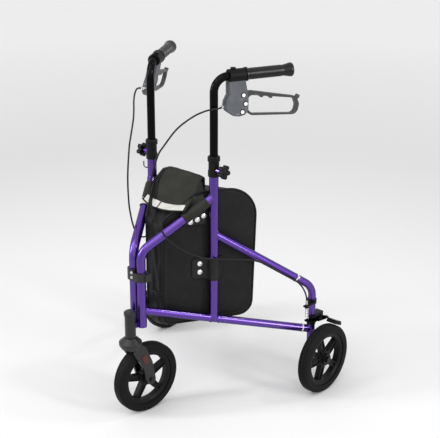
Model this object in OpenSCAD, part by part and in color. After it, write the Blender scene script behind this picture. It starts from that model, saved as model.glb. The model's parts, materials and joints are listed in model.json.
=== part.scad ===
// Folding three wheel rollator: two tubular side frames hinged at a front bracket,
// a front caster, two braked rear wheels, height adjustable handles and a bag.
// Modelled in millimetres, +Z up, front towards -Y, the user's left side at +X.

/* [Side frames] */
// Outside diameter of the front tubes and uprights
frame_tube_d = 25.4; // [22:0.1:30]
// Outside diameter of the lower rails and rear tubes
rail_tube_d = 22.2; // [19:0.1:25]
// Wall thickness of the frame tubes
tube_wall = 1.5; // [1:0.1:2.5]
// Angle of each open side frame to the direction of travel, in degrees
open_angle = 30; // [20:0.5:40]
// Distance of each front tube from the middle plane
hinge_x = 13.5; // [13.2:0.1:25]
// Distance from the front tube back to the upright
upright_s = 204; // [170:1:240]
// Distance from the front tube back to the rear post
post_s = 498; // [440:1:560]
// Centre line radius of the tube bends
bend_r = 50; // [40:1:70]
// Height of the front tube's lower end
front_tube_z = 280.4; // [250:0.1:300]
// Height where the front tube's two centre lines cross
front_corner_z = 482; // [440:1:520]
// Height where the front diagonal meets the upright
diagonal_top_z = 616; // [560:1:660]
// Height of the lower rail at the front tube
rail_front_z = 312; // [290:0.5:325]
// Height of the lower rail at the rear post
rail_rear_z = 180; // [170:1:220]
// Height where the rear diagonal meets the upright
rear_top_z = 511; // [460:1:560]
// Height where the rear tube's two centre lines cross
rear_corner_z = 313; // [290:1:340]
// Height of the upright's top end
upright_top_z = 715; // [660:1:740]

/* [Handles] */
// Outside diameter of the sliding handle tubes
handle_d = 22; // [19:0.1:22]
// Height of the handle tube's level part
handle_z = 940; // [860:1:980]
// Centre line radius of the handle bend
handle_bend_r = 40; // [35:1:60]
// Distance from the upright's axis back to the handle tube's end
handle_reach = 218; // [190:1:240]
// Inward turn of the left handle from its side frame, in degrees
handle_toe = 6; // [0:0.5:12]
// Inward turn of the right handle from its side frame, in degrees
right_toe = 0; // [0:0.5:12]
// Outward roll of the right lever's clamp round its handle tube, in degrees
right_roll = 14; // [0:1:20]
// Radius of the grip between its flange and its flare
grip_r = 14.4; // [13:0.1:17]

/* [Wheels] */
// Outside diameter of all three tyres
wheel_d = 203; // [180:1:210]
// Width of the tyres
tyre_w = 32; // [26:1:36]
// Width of a wheel spoke
spoke_w = 15; // [10:0.5:20]
// Distance of the rear wheels' middle plane outside the rear post
wheel_out = 46.5; // [44:0.5:55]

/* [Front caster] */
// Distance of the caster's swivel axis in front of the front tubes
stem_y = 32.5; // [30:0.5:40]
// Distance of the front axle behind the swivel axis
caster_trail = 48; // [40:1:60]
// Turn of the caster as it stands, in degrees
caster_turn = 7; // [0:1:30]

/* [Brakes] */
// Thickness of the loop brake lever
lever_t = 11; // [8:0.5:12]
// Width of the brake lever's housing
housing_w = 26; // [24:0.5:30]
// Outside diameter of the brake cables
cable_d = 4.6; // [4:0.1:6]

/* [Bag] */
// Distance of the bag's side panels inside the side frames
bag_inset = 18.5; // [15:0.5:30]
// Distance of the fold in the bag's back behind the front tubes
bag_fold_y = 196; // [150:1:280]

/* [Hidden] */
$fn = 72;
eps = 0.03;
// Overlap of a straight tube with its bend, and the bend's smaller radius there
lap = 1;
step = 0.2;

// Shared sizes worked out from the ones above
tube_r = frame_tube_d / 2;
rail_r = rail_tube_d / 2;
handle_r = handle_d / 2;
wheel_r = wheel_d / 2;
cable_r = cable_d / 2;
post_x = hinge_x + post_s * sin(open_angle);
post_y = post_s * cos(open_angle);
wheel_x = post_x + wheel_out;
diag_angle = atan2(diagonal_top_z - front_corner_z, upright_s);
rear_angle = atan2(rear_top_z - rear_corner_z, post_s - upright_s);
front_tangent = bend_r * tan((90 - diag_angle) / 2);
rear_tangent = bend_r * tan((90 - rear_angle) / 2);
diag_dir = [cos(diag_angle), sin(diag_angle)];
rear_dir = [cos(rear_angle), -sin(rear_angle)];
front_corner = [0, front_corner_z];
rear_corner = [post_s, rear_corner_z];
// Reach of the turned front tyre ahead of its axle, and the middle of the whole length
shoulder_r = tyre_w / 4;
front_reach = (wheel_r - shoulder_r) * cos(caster_turn) + shoulder_r * (1 + sin(caster_turn));
y_mid = (post_y + wheel_r + caster_trail * cos(caster_turn) - stem_y - front_reach) / 2;
knob_z = 692;
bolt_r = 3;
post_bottom_z = 84;
axle_r = 6;
front_axle_r = 4;
hub_hw = 15.5;
fork_gap = 20;
fork_out = 27.5;
stem_r = 8;
brake_y = 447;
brake_z = 214;
arm_x = 275.9;
arm_t = 5;
lug_x = post_x - 12;
shoe_angle = 26;
shoe_gap = 3;
shoe_len = 36;
shoe_t = 8;
tail_y = 388;
tail_z = 229;
stop_z = 268;
pivot_t = 78.5;
pivot_z = 888;
rivets = [[pivot_t, pivot_z], [84.5, 864.5], [75.5, 843.5]];
sleeve_r = tube_r + 1.8;

// Route of the brake cables beside their frame: back, outward and up from the hinge,
// with a top of its own on each side
left_lead = [[220.4, 11, 862], [213, 17.2, 861.5], [196, 19.5, 861.5], [170, 20, 857],
    [140, 19.5, 845], [100, 18.5, 818]];
right_lead = [[219.2, 31.2, 867.4], [211.1, 36.4, 868.7], [202, 39.5, 866.5], [186, 40, 857],
    [163, 36, 843.5], [134, 28, 829], [100, 20.5, 810]];
cable_route = [
    [66, 18, 778], [46, 18, 747], [26, 18, 674], [30, 18, 603], [42, 18, 567],
    [58, 18, 535], [78, 18, 508], [104, 18, 486], [131, 18, 468], [170, 18, 450.5],
    [212, 17.5, 441], [285, 16.5, 430], [318, 15.8, 422], [346, 15.3, 408.5], [395, 14.6, 374.5],
    [425.5, 14, 354.4], [443.1, 14, 342.2], [456, 18, 329], [464, 26, 313], [467, 33, 297],
    [467.5, 34.8, 275.5]
];

// One Catmull Rom step between the middle two of four points
function bow(a, b, c, d, u) =
    0.5 * (2 * b + (c - a) * u + (2 * a - 5 * b + 4 * c - d) * u * u
    + (3 * b - a - 3 * c + d) * u * u * u);
function smooth(p, n) = [
    for (i = [0 : len(p) - 2])
        for (k = [0 : n - 1])
            bow(p[max(i - 1, 0)], p[i], p[i + 1], p[min(i + 2, len(p) - 1)], k / n),
    p[len(p) - 1]
];
function unit(v) = v / norm(v);
function tangent_at(p, i) = unit(p[min(i + 1, len(p) - 1)] - p[max(i - 1, 0)]);
// A side direction carried along the path so that the rings never twist
function carry(p, i, s) =
    let (t = tangent_at(p, i))
    unit(s - t * (s * t));
function sides(p, i = 0, s = [0, 1, 0.2], out = []) =
    i == len(p) ? out :
    let (c = carry(p, i, s))
    sides(p, i + 1, c, concat(out, [c]));

// Round tube along a path, closed at both ends
module swept(p, r, n) {
    u = sides(p);
    pts = [
        for (i = [0 : len(p) - 1])
            let (v = cross(tangent_at(p, i), u[i]))
            for (k = [0 : n - 1])
                p[i] + r * (cos(360 * k / n) * u[i] + sin(360 * k / n) * v)
    ];
    walls = [
        for (i = [0 : len(p) - 2])
            for (k = [0 : n - 1])
                let (a = i * n + k, b = i * n + (k + 1) % n)
                [a, a + n, b + n, b]
    ];
    first = [[for (k = [0 : n - 1]) k]];
    last = [[for (k = [n - 1 : -1 : 0]) (len(p) - 1) * n + k]];
    polyhedron(pts, concat(walls, first, last), convexity = 10);
}

// Whole model moved so that the middle of its length is over the origin
module centred() {
    $lead = left_lead;
    $toe = handle_toe;
    $roll = 0;
    translate([0, -y_mid, 0])
        children();
}

// Right side, with its handle set its own way
module mirrored() {
    $lead = right_lead;
    $toe = right_toe;
    $roll = right_roll;
    mirror([1, 0, 0])
        children();
}

// Left side frame's own directions: x back along the frame, y inward, z up
module on_frame() {
    translate([hinge_x, 0, 0])
        rotate([0, 0, 90 - open_angle])
            children();
}

// Left handle's own directions: x back along the grip, y inward, z up
module on_handle() {
    on_frame()
        translate([upright_s, 0, 0])
            rotate([0, 0, $toe])
                children();
}

// The same directions turned with the lever's clamp round the handle tube
module on_clamp() {
    on_handle()
        translate([0, 0, handle_z])
            rotate([-$roll, 0, 0])
                translate([0, 0, -handle_z])
                    children();
}

// Caster's own directions: y back along the fork, z up, swivel axis at zero
module on_caster() {
    translate([0, -stem_y, 0])
        rotate([0, 0, -caster_turn])
            children();
}

// Rod between two points of a frame's plane
module rod(a, b, r) {
    d = b - a;
    translate([a[0], 0, a[1]])
        rotate([0, atan2(d[0], d[1]), 0])
            cylinder(h = norm(d), r = r);
}

// Part of a ring in a frame's plane
module arc(c, radius, r, from, sweep) {
    translate([c[0], 0, c[1]])
        rotate([90, 0, 0])
            rotate([0, 0, from])
                rotate_extrude(angle = sweep)
                    translate([radius, 0])
                        circle(r);
}

// Flat plate with its outline in a frame's plane, centred on it
module plate(points, t) {
    translate([0, t / 2, 0])
        rotate([90, 0, 0])
            linear_extrude(t)
                polygon(points);
}

// Round pin across a frame's plane
module cross_pin(at, r, from, to) {
    translate([at[0], from, at[1]])
        rotate([-90, 0, 0])
            cylinder(h = to - from, r = r);
}

module front_path(r) {
    start = front_corner - [0, front_tangent];
    rod([0, front_tube_z - (tube_r - r)], start + [0, lap], r);
    arc(start + [bend_r, 0], bend_r, r - step, 90 + diag_angle, 90 - diag_angle);
    rod(front_corner + (front_tangent - lap) * diag_dir, [upright_s, diagonal_top_z], r);
}

module rear_path(r) {
    start = rear_corner - [0, rear_tangent];
    rod([upright_s, rear_top_z], rear_corner - (rear_tangent - lap) * rear_dir, r);
    arc(start - [bend_r, 0], bend_r, r - step, 0, 90 - rear_angle);
    rod([post_s, post_bottom_z - (rail_r - r)], start + [0, lap], r);
}

module upright_core(r) {
    rod([upright_s, 220], [upright_s, upright_top_z + 20], r);
}

module rail_core(r) {
    rod([0, rail_front_z], [post_s, rail_rear_z], r);
}

module front_tube() {
    color([0.24, 0.09, 0.45])
        on_frame()
            difference() {
                front_path(tube_r);
                front_path(tube_r - tube_wall);
                upright_core(tube_r + eps);
            }
}

// Boss for the height knob, pointing straight out sideways
module boss_core(r, from, to) {
    translate([upright_s, 0, knob_z])
        rotate([0, 0, open_angle - 90])
            rotate([0, 90, 0])
                translate([0, 0, from])
                    cylinder(h = to - from, r = r);
}

module upright() {
    color([0.24, 0.09, 0.45])
        on_frame()
            difference() {
                union() {
                    rod([upright_s, 230], [upright_s, upright_top_z], tube_r);
                    boss_core(7.5, 6, 25);
                }
                rod([upright_s, 220], [upright_s, upright_top_z + 1], handle_r + 0.08);
                rail_core(rail_r + eps);
                translate([upright_s - 30, -30, 150])
                    cube([60, 60, rail_front_z - 58 - 150]);
                boss_core(bolt_r + 0.06, 0, 30);
            }
}

module lower_rail() {
    color([0.24, 0.09, 0.45])
        on_frame()
            difference() {
                rail_core(rail_r);
                rail_core(rail_r - tube_wall);
                rod([0, 200], [0, 400], tube_r + eps);
                rod([post_s, 100], [post_s, 260], rail_r + eps);
            }
}

module rear_tube() {
    color([0.24, 0.09, 0.45])
        difference() {
            on_frame()
                difference() {
                    rear_path(rail_r);
                    rear_path(rail_r - tube_wall);
                    upright_core(tube_r + eps);
                }
            translate([post_x - 30, post_y, wheel_r])
                rotate([0, 90, 0])
                    cylinder(h = 60, r = axle_r + eps);
        }
}

module collar() {
    color([0.05, 0.05, 0.055])
        on_frame()
            translate([upright_s, 0, 0])
                difference() {
                    union() {
                        translate([0, 0, 674])
                            cylinder(h = 16, r = 15.8);
                        translate([0, 0, 690])
                            cylinder(h = 26, r = 14.4);
                        translate([0, 0, 716])
                            cylinder(h = 11, r = 16.8);
                        translate([0, 0, 727])
                            cylinder(h = 3, r1 = 16.8, r2 = 13.8);
                    }
                    translate([0, 0, 670])
                        cylinder(h = upright_top_z - 670 + eps, r = tube_r + eps);
                    translate([0, 0, 670])
                        cylinder(h = 70, r = handle_r + 0.1);
                    translate([-upright_s, 0, 0])
                        boss_core(7.5 + eps, 0, 30);
                }
}

// Five lobed knob moulded on its clamping bolt
module height_knob() {
    color([0.05, 0.05, 0.055])
        on_frame()
            translate([upright_s, 0, knob_z])
                rotate([0, 0, open_angle - 90])
                    rotate([0, 90, 0]) {
                        translate([0, 0, handle_r + 0.35])
                            cylinder(h = 20, r = bolt_r);
                        translate([0, 0, 25.4])
                            cylinder(h = 5, r = 8);
                        translate([0, 0, 29])
                            linear_extrude(13)
                                union() {
                                    circle(12.5);
                                    for (i = [0 : 4])
                                        rotate(72 * i)
                                            translate([13, 0])
                                                circle(6.2);
                                }
                        translate([0, 0, 42])
                            cylinder(h = 2, r1 = 12, r2 = 9);
                    }
}

module handle_path(r, inner) {
    top = handle_z - handle_bend_r;
    rod([0, 480 - inner], [0, top + lap], r);
    arc([handle_bend_r, top], handle_bend_r, r - step, 90, 90);
    rod([handle_bend_r - lap, handle_z], [handle_reach + inner, handle_z], r);
}

module handle_tube() {
    color([0.03, 0.03, 0.035])
        on_handle()
            difference() {
                handle_path(handle_r, 0);
                handle_path(handle_r - tube_wall, 1);
            }
}

rib_pitch = 5.5;
rib_count = 17;
grip_from = 88;
grip_len = handle_reach - grip_from + 5;

module grip() {
    ribs = [
        for (i = [0 : rib_count - 1])
            for (q = [[0, 0], [0.9, 0.8], [0.9, 3.2], [0, 4]])
                [grip_r + q[0], 12 + i * rib_pitch + q[1]]
    ];
    color([0.03, 0.03, 0.03])
        on_handle()
            translate([grip_from, 0, handle_z])
                rotate([0, 90, 0])
                    rotate_extrude()
                        polygon(concat(
                            [[handle_r + eps, 0], [18.5, 0], [18.5, 4.5], [grip_r, 9]],
                            ribs,
                            [[grip_r, grip_len - 28], [16.2, grip_len - 16], [18.4, grip_len - 6],
                             [18.6, grip_len - 1.4], [17.8, grip_len], [0, grip_len],
                             [0, grip_len - 4.6], [handle_r + eps, grip_len - 4.6]]));
}

// Corners of the lever's housing below the handle tube, before they are rounded:
// a straight neck above and a fuller bowl below it
housing_neck = [[37.5, 936], [39, 903], [38, 880], [92.5, 880], [91, 897], [86, 919], [84, 936]];
housing_bowl = [
    [38, 891], [30, 875], [27.5, 861], [33, 847], [50, 834.5], [68, 831], [84, 834], [94, 844],
    [94.5, 878], [92.5, 891]
];
housing_edge = 2.5;

// Outline with its outer corners rounded
module rounded(r) {
    offset(r = r)
        offset(delta = -r)
            children();
}

// Flat shape stood up in a frame's plane and centred on it
module slab(t) {
    translate([0, t / 2, 0])
        rotate([90, 0, 0])
            linear_extrude(t)
                children();
}

// Solid of one convex outline with softened long edges
module pillow(points, r) {
    hull($fn = 32) {
        slab(housing_w - 2 * housing_edge)
            rounded(r)
                polygon(points);
        slab(housing_w)
            offset(delta = -housing_edge)
                rounded(r)
                    polygon(points);
    }
}

module brake_housing() {
    color([0.09, 0.09, 0.095])
        on_clamp()
            difference() {
                union() {
                    pillow(housing_neck, 5);
                    pillow(housing_bowl, 9);
                    rod([40.5, handle_z], [86, handle_z], 17);
                    translate([54, 0, handle_z])
                        cylinder(h = 21, r = 7);
                }
                handle_path(handle_r + eps, 1);
                plate([[62, 836], [68, 904], [120, 904], [120, 826], [76, 826]], lever_t + 0.8);
                for (q = rivets)
                    cross_pin(q, bolt_r + eps, -30, 30);
                translate([28, -4, 862])
                    rotate([0, 0, 34])
                        rotate([0, -90, 0])
                            translate([0, 0, -14])
                                cylinder(h = 40, r = 3 + eps);
            }
}

module housing_rivets() {
    color([0.8, 0.8, 0.82])
        on_clamp()
            for (q = rivets) {
                cross_pin(q, bolt_r, -housing_w / 2 - 1, housing_w / 2 + 1);
                cross_pin(q, 5, -housing_w / 2 - 2.2, -housing_w / 2 - eps);
                cross_pin(q, 5, housing_w / 2 + eps, housing_w / 2 + 2.2);
            }
}

// Barrel adjuster that carries the cable's end into the housing
module cable_adjuster() {
    color([0.75, 0.75, 0.77])
        on_clamp()
            translate([28, -4, 862])
                rotate([0, 0, 34])
                    rotate([0, -90, 0])
                        difference() {
                            union() {
                                translate([0, 0, -8])
                                    cylinder(h = 26, r = 3);
                                translate([0, 0, 8])
                                    cylinder(h = 5, r = 5);
                                translate([0, 0, 14])
                                    cylinder(h = 5, r = 4);
                            }
                            translate([0, 0, 14.2])
                                cylinder(h = 10, r = cable_r + 0.5);
                        }
}

// Corners of the brake lever's closed loop, outside and inside, before they are rounded,
// and the teeth between the finger grooves of its upper bar
loop_outer = [[88, 899], [237, 867.5], [247, 846], [240, 817.5], [104, 829.5], [88, 842]];
loop_inner = [[94.5, 885.5], [229, 864], [235.5, 843], [230, 822.5], [108, 834], [94.5, 846]];
finger_teeth = [[134.7, 879.4], [161.7, 874.6]];
tooth_r = 5;
tab_from = [234, 857];
tab_to = [243.5, 867];
tab_r = 4.2;

module lever_outline() {
    difference() {
        union() {
            rounded(17)
                polygon(loop_outer);
            translate([pivot_t, pivot_z])
                circle(9);
            polygon([[pivot_t, pivot_z - 9], [pivot_t, pivot_z + 9], [100, 895.6], [100, 876]]);
            hull()
                for (q = [tab_from, tab_to])
                    translate(q)
                        circle(tab_r);
        }
        rounded(2.5)
            difference() {
                rounded(13)
                    polygon(loop_inner);
                for (q = finger_teeth)
                    translate(q)
                        circle(tooth_r);
            }
    }
}

module brake_lever() {
    color([0.06, 0.06, 0.065])
        on_clamp()
            difference() {
                slab(lever_t)
                    rounded(0.8, $fn = 32)
                        lever_outline();
                cross_pin([pivot_t, pivot_z], bolt_r + 0.07, -20, 20);
            }
}

// Wheel with a deep rim, tapered hollow spokes and a hub, its axis along z
module spoke(half_root, half_tip, from, to, t) {
    linear_extrude(t, center = true)
        polygon([[from, -half_root], [to, -half_tip], [to, half_tip], [from, half_root]]);
}

module wheel_body(bore, phase) {
    tip = spoke_w / 2;
    root = tip + 2.5;
    difference() {
        union() {
            rotate_extrude()
                polygon([[66, -9], [72, -13], [79, -13], [79, 13], [72, 13], [66, 9]]);
            cylinder(h = 2 * hub_hw, r = 17, center = true);
            cylinder(h = 18, r = 23, center = true);
            for (i = [0 : 4])
                rotate(72 * i + phase)
                    spoke(root, tip, 14, 68, 16);
        }
        for (i = [0 : 4])
            rotate(72 * i + phase)
                for (z = [-7, 7])
                    translate([0, 0, z])
                        spoke(root - 3.4, tip - 3, 27, 64, 5);
        cylinder(h = 60, r = bore + 0.06, center = true);
    }
}

module tyre_body() {
    hw = tyre_w / 2;
    rotate_extrude()
        difference() {
            union() {
                translate([79.05, -hw / 2])
                    square([wheel_r - 79.05, hw]);
                translate([79.05, -hw])
                    square([wheel_r - hw / 2 - 79.05, tyre_w]);
                for (s = [-1, 1])
                    translate([wheel_r - hw / 2, s * hw / 2])
                        circle(hw / 2);
            }
            for (s = [-1, 1])
                translate([wheel_r - 1.2, s * hw / 3 - 0.8])
                    square([3, 1.6]);
        }
}

module at_rear_wheel() {
    translate([wheel_x, post_y, wheel_r])
        rotate([0, 90, 0])
            children();
}

module rear_wheel() {
    color([0.04, 0.04, 0.042])
        at_rear_wheel()
            wheel_body(axle_r, 90 + 34);
}

module rear_tyre() {
    color([0.075, 0.075, 0.078])
        at_rear_wheel()
            tyre_body();
}

// Axle bolt through the post, with a shoulder inside and a nut outside the hub,
// and the bolt on which the brake arm rocks
module axle_bolts() {
    color([0.14, 0.14, 0.145]) {
        translate([0, brake_y, brake_z])
            rotate([0, 90, 0]) {
                translate([0, 0, lug_x - 5 - eps])
                    cylinder(h = arm_x + arm_t + 10 - lug_x, r = 4);
                translate([0, 0, lug_x - 5 - eps])
                    cylinder(h = 5, r = 7.5, $fn = 6);
                translate([0, 0, arm_x + arm_t + 0.4])
                    cylinder(h = 4, r = 7.5, $fn = 6);
            }
        translate([0, post_y, wheel_r])
            rotate([0, 90, 0]) {
                translate([0, 0, post_x - rail_r - 6])
                    cylinder(h = wheel_x + hub_hw + 5 - post_x + rail_r + 6, r = axle_r);
                translate([0, 0, post_x - rail_r - 6])
                    cylinder(h = 5, r = 9.5, $fn = 6);
                translate([0, 0, post_x + rail_r + eps])
                    cylinder(h = wheel_out - rail_r - hub_hw - 0.4, r = 9);
                translate([0, 0, wheel_x + hub_hw + 0.4])
                    cylinder(h = 6, r = 9.5, $fn = 6);
            }
    }
}

// Clamp on the rear post, with a lug for the arm and a stop for the cable
module brake_bracket() {
    color([0.05, 0.05, 0.055])
        difference() {
            union() {
                translate([post_x, post_y, 198])
                    cylinder(h = 30, r = 12.9);
                translate([lug_x, post_y + 5, 202])
                    cube([arm_x - 1.8 - lug_x, 36, 24]);
                translate([post_x + 7, tail_y - 6, stop_z])
                    cube([11, post_y - tail_y, 4]);
                translate([post_x, post_y, stop_z - 6])
                    cylinder(h = 14, r = 13.6);
                translate([post_x + 15.6, tail_y, stop_z - 2])
                    cylinder(h = 9, r = 6);
            }
            translate([post_x, post_y, 150])
                cylinder(h = 200, r = rail_r + eps);
            on_frame()
                rear_path(rail_r + eps);
            translate([post_x + 15.6, tail_y, stop_z - 10])
                cylinder(h = 30, r = 2.6);
            translate([post_x - 20, brake_y, brake_z])
                rotate([0, 90, 0])
                    cylinder(h = 60, r = 4 + eps);
        }
}

// Rocking arm: its tail is pulled up by the cable and its shoe goes down on the tyre
module brake_arm() {
    shoe_y = post_y + (wheel_r + shoe_gap + 4) * sin(shoe_angle);
    shoe_z = wheel_r + (wheel_r + shoe_gap + 4) * cos(shoe_angle);
    color([0.06, 0.06, 0.065])
        difference() {
            union() {
                translate([arm_x, 0, 0])
                    rotate([90, 0, 90])
                        linear_extrude(arm_t)
                            union() {
                                polygon([
                                    [tail_y - 7, tail_z - 3], [tail_y - 7, tail_z + 3],
                                    [brake_y, brake_z + 10], [shoe_y + 8, shoe_z + 8],
                                    [shoe_y + 14, shoe_z + 2], [shoe_y - 2, shoe_z + 0.5],
                                    [brake_y, brake_z - 10]]);
                                translate([brake_y, brake_z])
                                    circle(10.5);
                            }
                translate([arm_x, tail_y - 7, tail_z - 3])
                    cube([8, 14, 3]);
                translate([arm_x, shoe_y, shoe_z])
                    rotate([-shoe_angle, 0, 0])
                        translate([0, 3 - shoe_len / 2, 4.05])
                            cube([wheel_x + 14 - arm_x, shoe_len - 6, 3.5]);
            }
            translate([arm_x - 10, brake_y, brake_z])
                rotate([0, 90, 0])
                    cylinder(h = 30, r = 4.06);
        }
}

module brake_shoe() {
    color([0.09, 0.09, 0.09])
        translate([wheel_x, post_y, wheel_r])
            rotate([-shoe_angle, 0, 0])
                translate([-15, -shoe_len / 2, wheel_r + shoe_gap])
                    cube([30, shoe_len, shoe_t]);
}

coil_turns = 8;
coil_steps = 14;
coil_r = 4.6;
coil_wire = 0.7;
coil_from = tail_z + 3.5;
coil_to = stop_z - 3.5;
wire_from = tail_z + 2.7;
echo(coil_gap = (coil_to - coil_from) / coil_turns - 2 * coil_wire);

// Return spring of the brake arm round the bare end of the cable's wire
module brake_spring() {
    color([0.8, 0.8, 0.82])
        translate([post_x + 15.6, tail_y, 0])
            swept([
                for (i = [0 : coil_turns * coil_steps])
                    let (a = 360 * i / coil_steps)
                    [coil_r * cos(a), coil_r * sin(a),
                     coil_from + (coil_to - coil_from) * i / (coil_turns * coil_steps)]
            ], coil_wire, 6);
    color([0.8, 0.8, 0.82])
        translate([post_x + 15.6, tail_y, wire_from])
            cylinder(h = stop_z + 6 - wire_from, r = 0.8);
}

// Sheathed cable from the lever's adjuster to the stop above the brake
module brake_cable() {
    route = [for (q = smooth(concat($lead, cable_route), 3)) [q[0], -q[1], q[2]]];
    color([0.04, 0.04, 0.042])
        on_frame()
            swept(route, cable_r, 8);
}

// Tie across a tube's axis, with a loop for the cable beside the tube where one is given
module tie_ring(at, along, r, beside = []) {
    translate([at[0], 0, at[1]])
        rotate([0, atan2(along[0], along[1]), 0])
            difference() {
                union() {
                    cylinder(h = 3.2, r = r + 1.3, center = true);
                    for (q = beside)
                        translate(q)
                            cylinder(h = 3.2, r = cable_r + 1.7, center = true);
                }
                cylinder(h = 6, r = r + eps, center = true);
                for (q = beside)
                    translate(q)
                        cylinder(h = 6, r = cable_r + 0.4, center = true);
            }
}

module cable_ties() {
    rail_dir = unit([post_s, rail_rear_z - rail_front_z]);
    color([0.88, 0.88, 0.86])
        on_frame() {
            tie_ring(rear_corner - 62 * rear_dir, rear_dir, rail_r, [[-6.4, -14]]);
            tie_ring([post_s, rail_rear_z] - 30 * rail_dir, rail_dir, rail_r);
        }
}

// Sleeves of the bag around the front diagonal and the upright, each with its tab
module bag_straps() {
    low = front_corner + 150 * diag_dir;
    high = front_corner + 214 * diag_dir;
    color([0.035, 0.035, 0.038])
        on_frame() {
            difference() {
                union() {
                    rod(low, high, sleeve_r);
                    translate([0, 10, 0])
                        plate([low, high, [186, 536], [137, 535]], 3);
                }
                rod(low - 9 * diag_dir, high + 9 * diag_dir, tube_r + eps);
            }
            difference() {
                union() {
                    rod([upright_s, 376], [upright_s, 439], sleeve_r);
                    translate([upright_s - 59, 8.6, 382])
                        cube([53, 3, 55]);
                }
                rod([upright_s, 360], [upright_s, 450], tube_r + eps);
            }
        }
}

module snap_stud(at, face) {
    cross_pin(at, 5, face - 1.2, face - eps);
    cross_pin(at, 3.4, face - 2.4, face - 1.1);
}

module bag_snaps() {
    color([0.8, 0.8, 0.82])
        on_frame() {
            for (z = [397.5, 422.5])
                snap_stud([upright_s - 36.5, z], 8.6);
            for (at = [[141, 547.5], [160, 552.5], [178, 562]])
                snap_stud(at, 8.5);
        }
}

// Small wire hook on the right upright
module cable_hook() {
    color([0.06, 0.06, 0.065])
        on_frame()
            translate([upright_s, 0, 646])
                rotate([0, 0, -90]) {
                    translate([tube_r + 0.02, 0, 0])
                        rotate([0, 90, 0])
                            cylinder(h = 4.3, r = 1.6);
                    translate([tube_r + 4, 0, 7])
                        rotate([90, 0, 0])
                            rotate([0, 0, -90])
                                rotate_extrude(angle = 90)
                                    translate([7, 0])
                                        circle(1.6 - step);
                    translate([tube_r + 11, 0, 6.7])
                        cylinder(h = 11, r = 1.6);
                }
}

// Plastic block around both front tubes, taller on the right tube
module hinge_block() {
    block_r = 18;
    color([0.05, 0.05, 0.055])
        difference() {
            union() {
                translate([-hinge_x, 0, 400])
                    cylinder(h = 31, r = block_r);
                translate([hinge_x, 0, 400])
                    cylinder(h = 24, r = block_r);
                translate([-hinge_x, -block_r, 400])
                    cube([2 * hinge_x, 2 * block_r, 24]);
                translate([-hinge_x, -block_r, 400])
                    cube([hinge_x + 2, 14, 31]);
                translate([hinge_x + 6, -4, 402])
                    cube([20, 16, 20]);
            }
            for (s = [-1, 1])
                translate([s * hinge_x, 0, 390])
                    cylinder(h = 60, r = tube_r + 0.06);
            for (z = [409, 423])
                translate([-5, -block_r - 1, z])
                    rotate([-90, 0, 0])
                        cylinder(h = 7, r = 2.5 + eps);
        }
}

bracket_z = 264;

module lower_bracket() {
    color([0.22, 0.08, 0.42])
        difference() {
            union() {
                for (s = [-1, 1]) {
                    translate([s * hinge_x, 0, bracket_z])
                        cylinder(h = front_tube_z - 0.4 - bracket_z, r = tube_r);
                    translate([s * hinge_x, 0, bracket_z + 4])
                        cylinder(h = 66, r = tube_r - tube_wall - 0.07);
                }
                translate([-10, -stem_y, bracket_z])
                    cube([20, stem_y + 4, 15]);
            }
            translate([0, -stem_y, 200])
                cylinder(h = 150, r = 15 + eps);
        }
}

module stem_housing() {
    color([0.05, 0.05, 0.055])
        translate([0, -stem_y, 0])
            difference() {
                union() {
                    translate([0, 0, 241])
                        cylinder(h = 66, r = 15);
                    translate([0, 0, 305])
                        cylinder(h = 9, r = 16.8);
                    translate([0, 0, 314])
                        cylinder(h = 4, r1 = 16.8, r2 = 11);
                }
                translate([0, 0, 235])
                    cylinder(h = 70, r = stem_r + 0.06);
            }
}

// Screws of the hinge block and the bolt heads under the lower bracket
module hinge_fasteners() {
    color([0.75, 0.75, 0.77]) {
        for (z = [409, 423])
            translate([-5, -18, z])
                rotate([-90, 0, 0]) {
                    translate([0, 0, -2.4])
                        cylinder(h = 2.4 - eps, r1 = 3, r2 = 4.6);
                    translate([0, 0, -1])
                        cylinder(h = 6.5, r = 2.5);
                }
        for (s = [-1, 1])
            translate([s * hinge_x, 0, bracket_z - 3.5])
                cylinder(h = 3.5 - eps, r = 7, $fn = 6);
    }
}

// Fork arm as a chain of rounds from the crown down to the axle, each back, up and radius
fork_chain = [[14, 196, 20], [36, 154, 16.5], [caster_trail, wheel_r, 14.5]];

module caster_fork() {
    color([0.05, 0.05, 0.055])
        on_caster()
            difference() {
                union() {
                    translate([0, 0, 230])
                        cylinder(h = 70, r = stem_r);
                    translate([0, 0, 236])
                        cylinder(h = 4.4, r = 13);
                    hull($fn = 48) {
                        translate([0, 0, 237])
                            cylinder(h = 2, r = 17);
                        translate([0, -1, 218])
                            cylinder(h = 8, r = 31.5);
                        translate([0, 1, 207])
                            cylinder(h = 4, r = 27);
                    }
                    for (x = [-fork_out, fork_gap])
                        translate([x, 0, 0])
                            rotate([90, 0, 90])
                                linear_extrude(fork_out - fork_gap)
                                    for (i = [0, 1])
                                        hull($fn = 48)
                                            for (q = [fork_chain[i], fork_chain[i + 1]])
                                                translate([q[0], q[1]])
                                                    circle(q[2]);
                }
                translate([-40, caster_trail, wheel_r])
                    rotate([0, 90, 0])
                        cylinder(h = 80, r = front_axle_r + eps);
            }
}

// Plain red oval let into the outside of each fork arm
module fork_inlays() {
    color([0.55, 0.03, 0.03])
        on_caster()
            for (s = [0, 1])
                mirror([s, 0, 0])
                    translate([fork_out + eps, 28, 171])
                        rotate([24, 0, 0])
                            rotate([90, 0, 90])
                                linear_extrude(1.4)
                                    union() {
                                        translate([-8.5, -7.5])
                                            square([17, 15]);
                                        for (z = [-7.5, 7.5])
                                            translate([0, z])
                                                circle(8.5);
                                    }
}

module at_front_wheel() {
    on_caster()
        translate([0, caster_trail, wheel_r])
            rotate([0, 90, 0])
                children();
}

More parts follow.
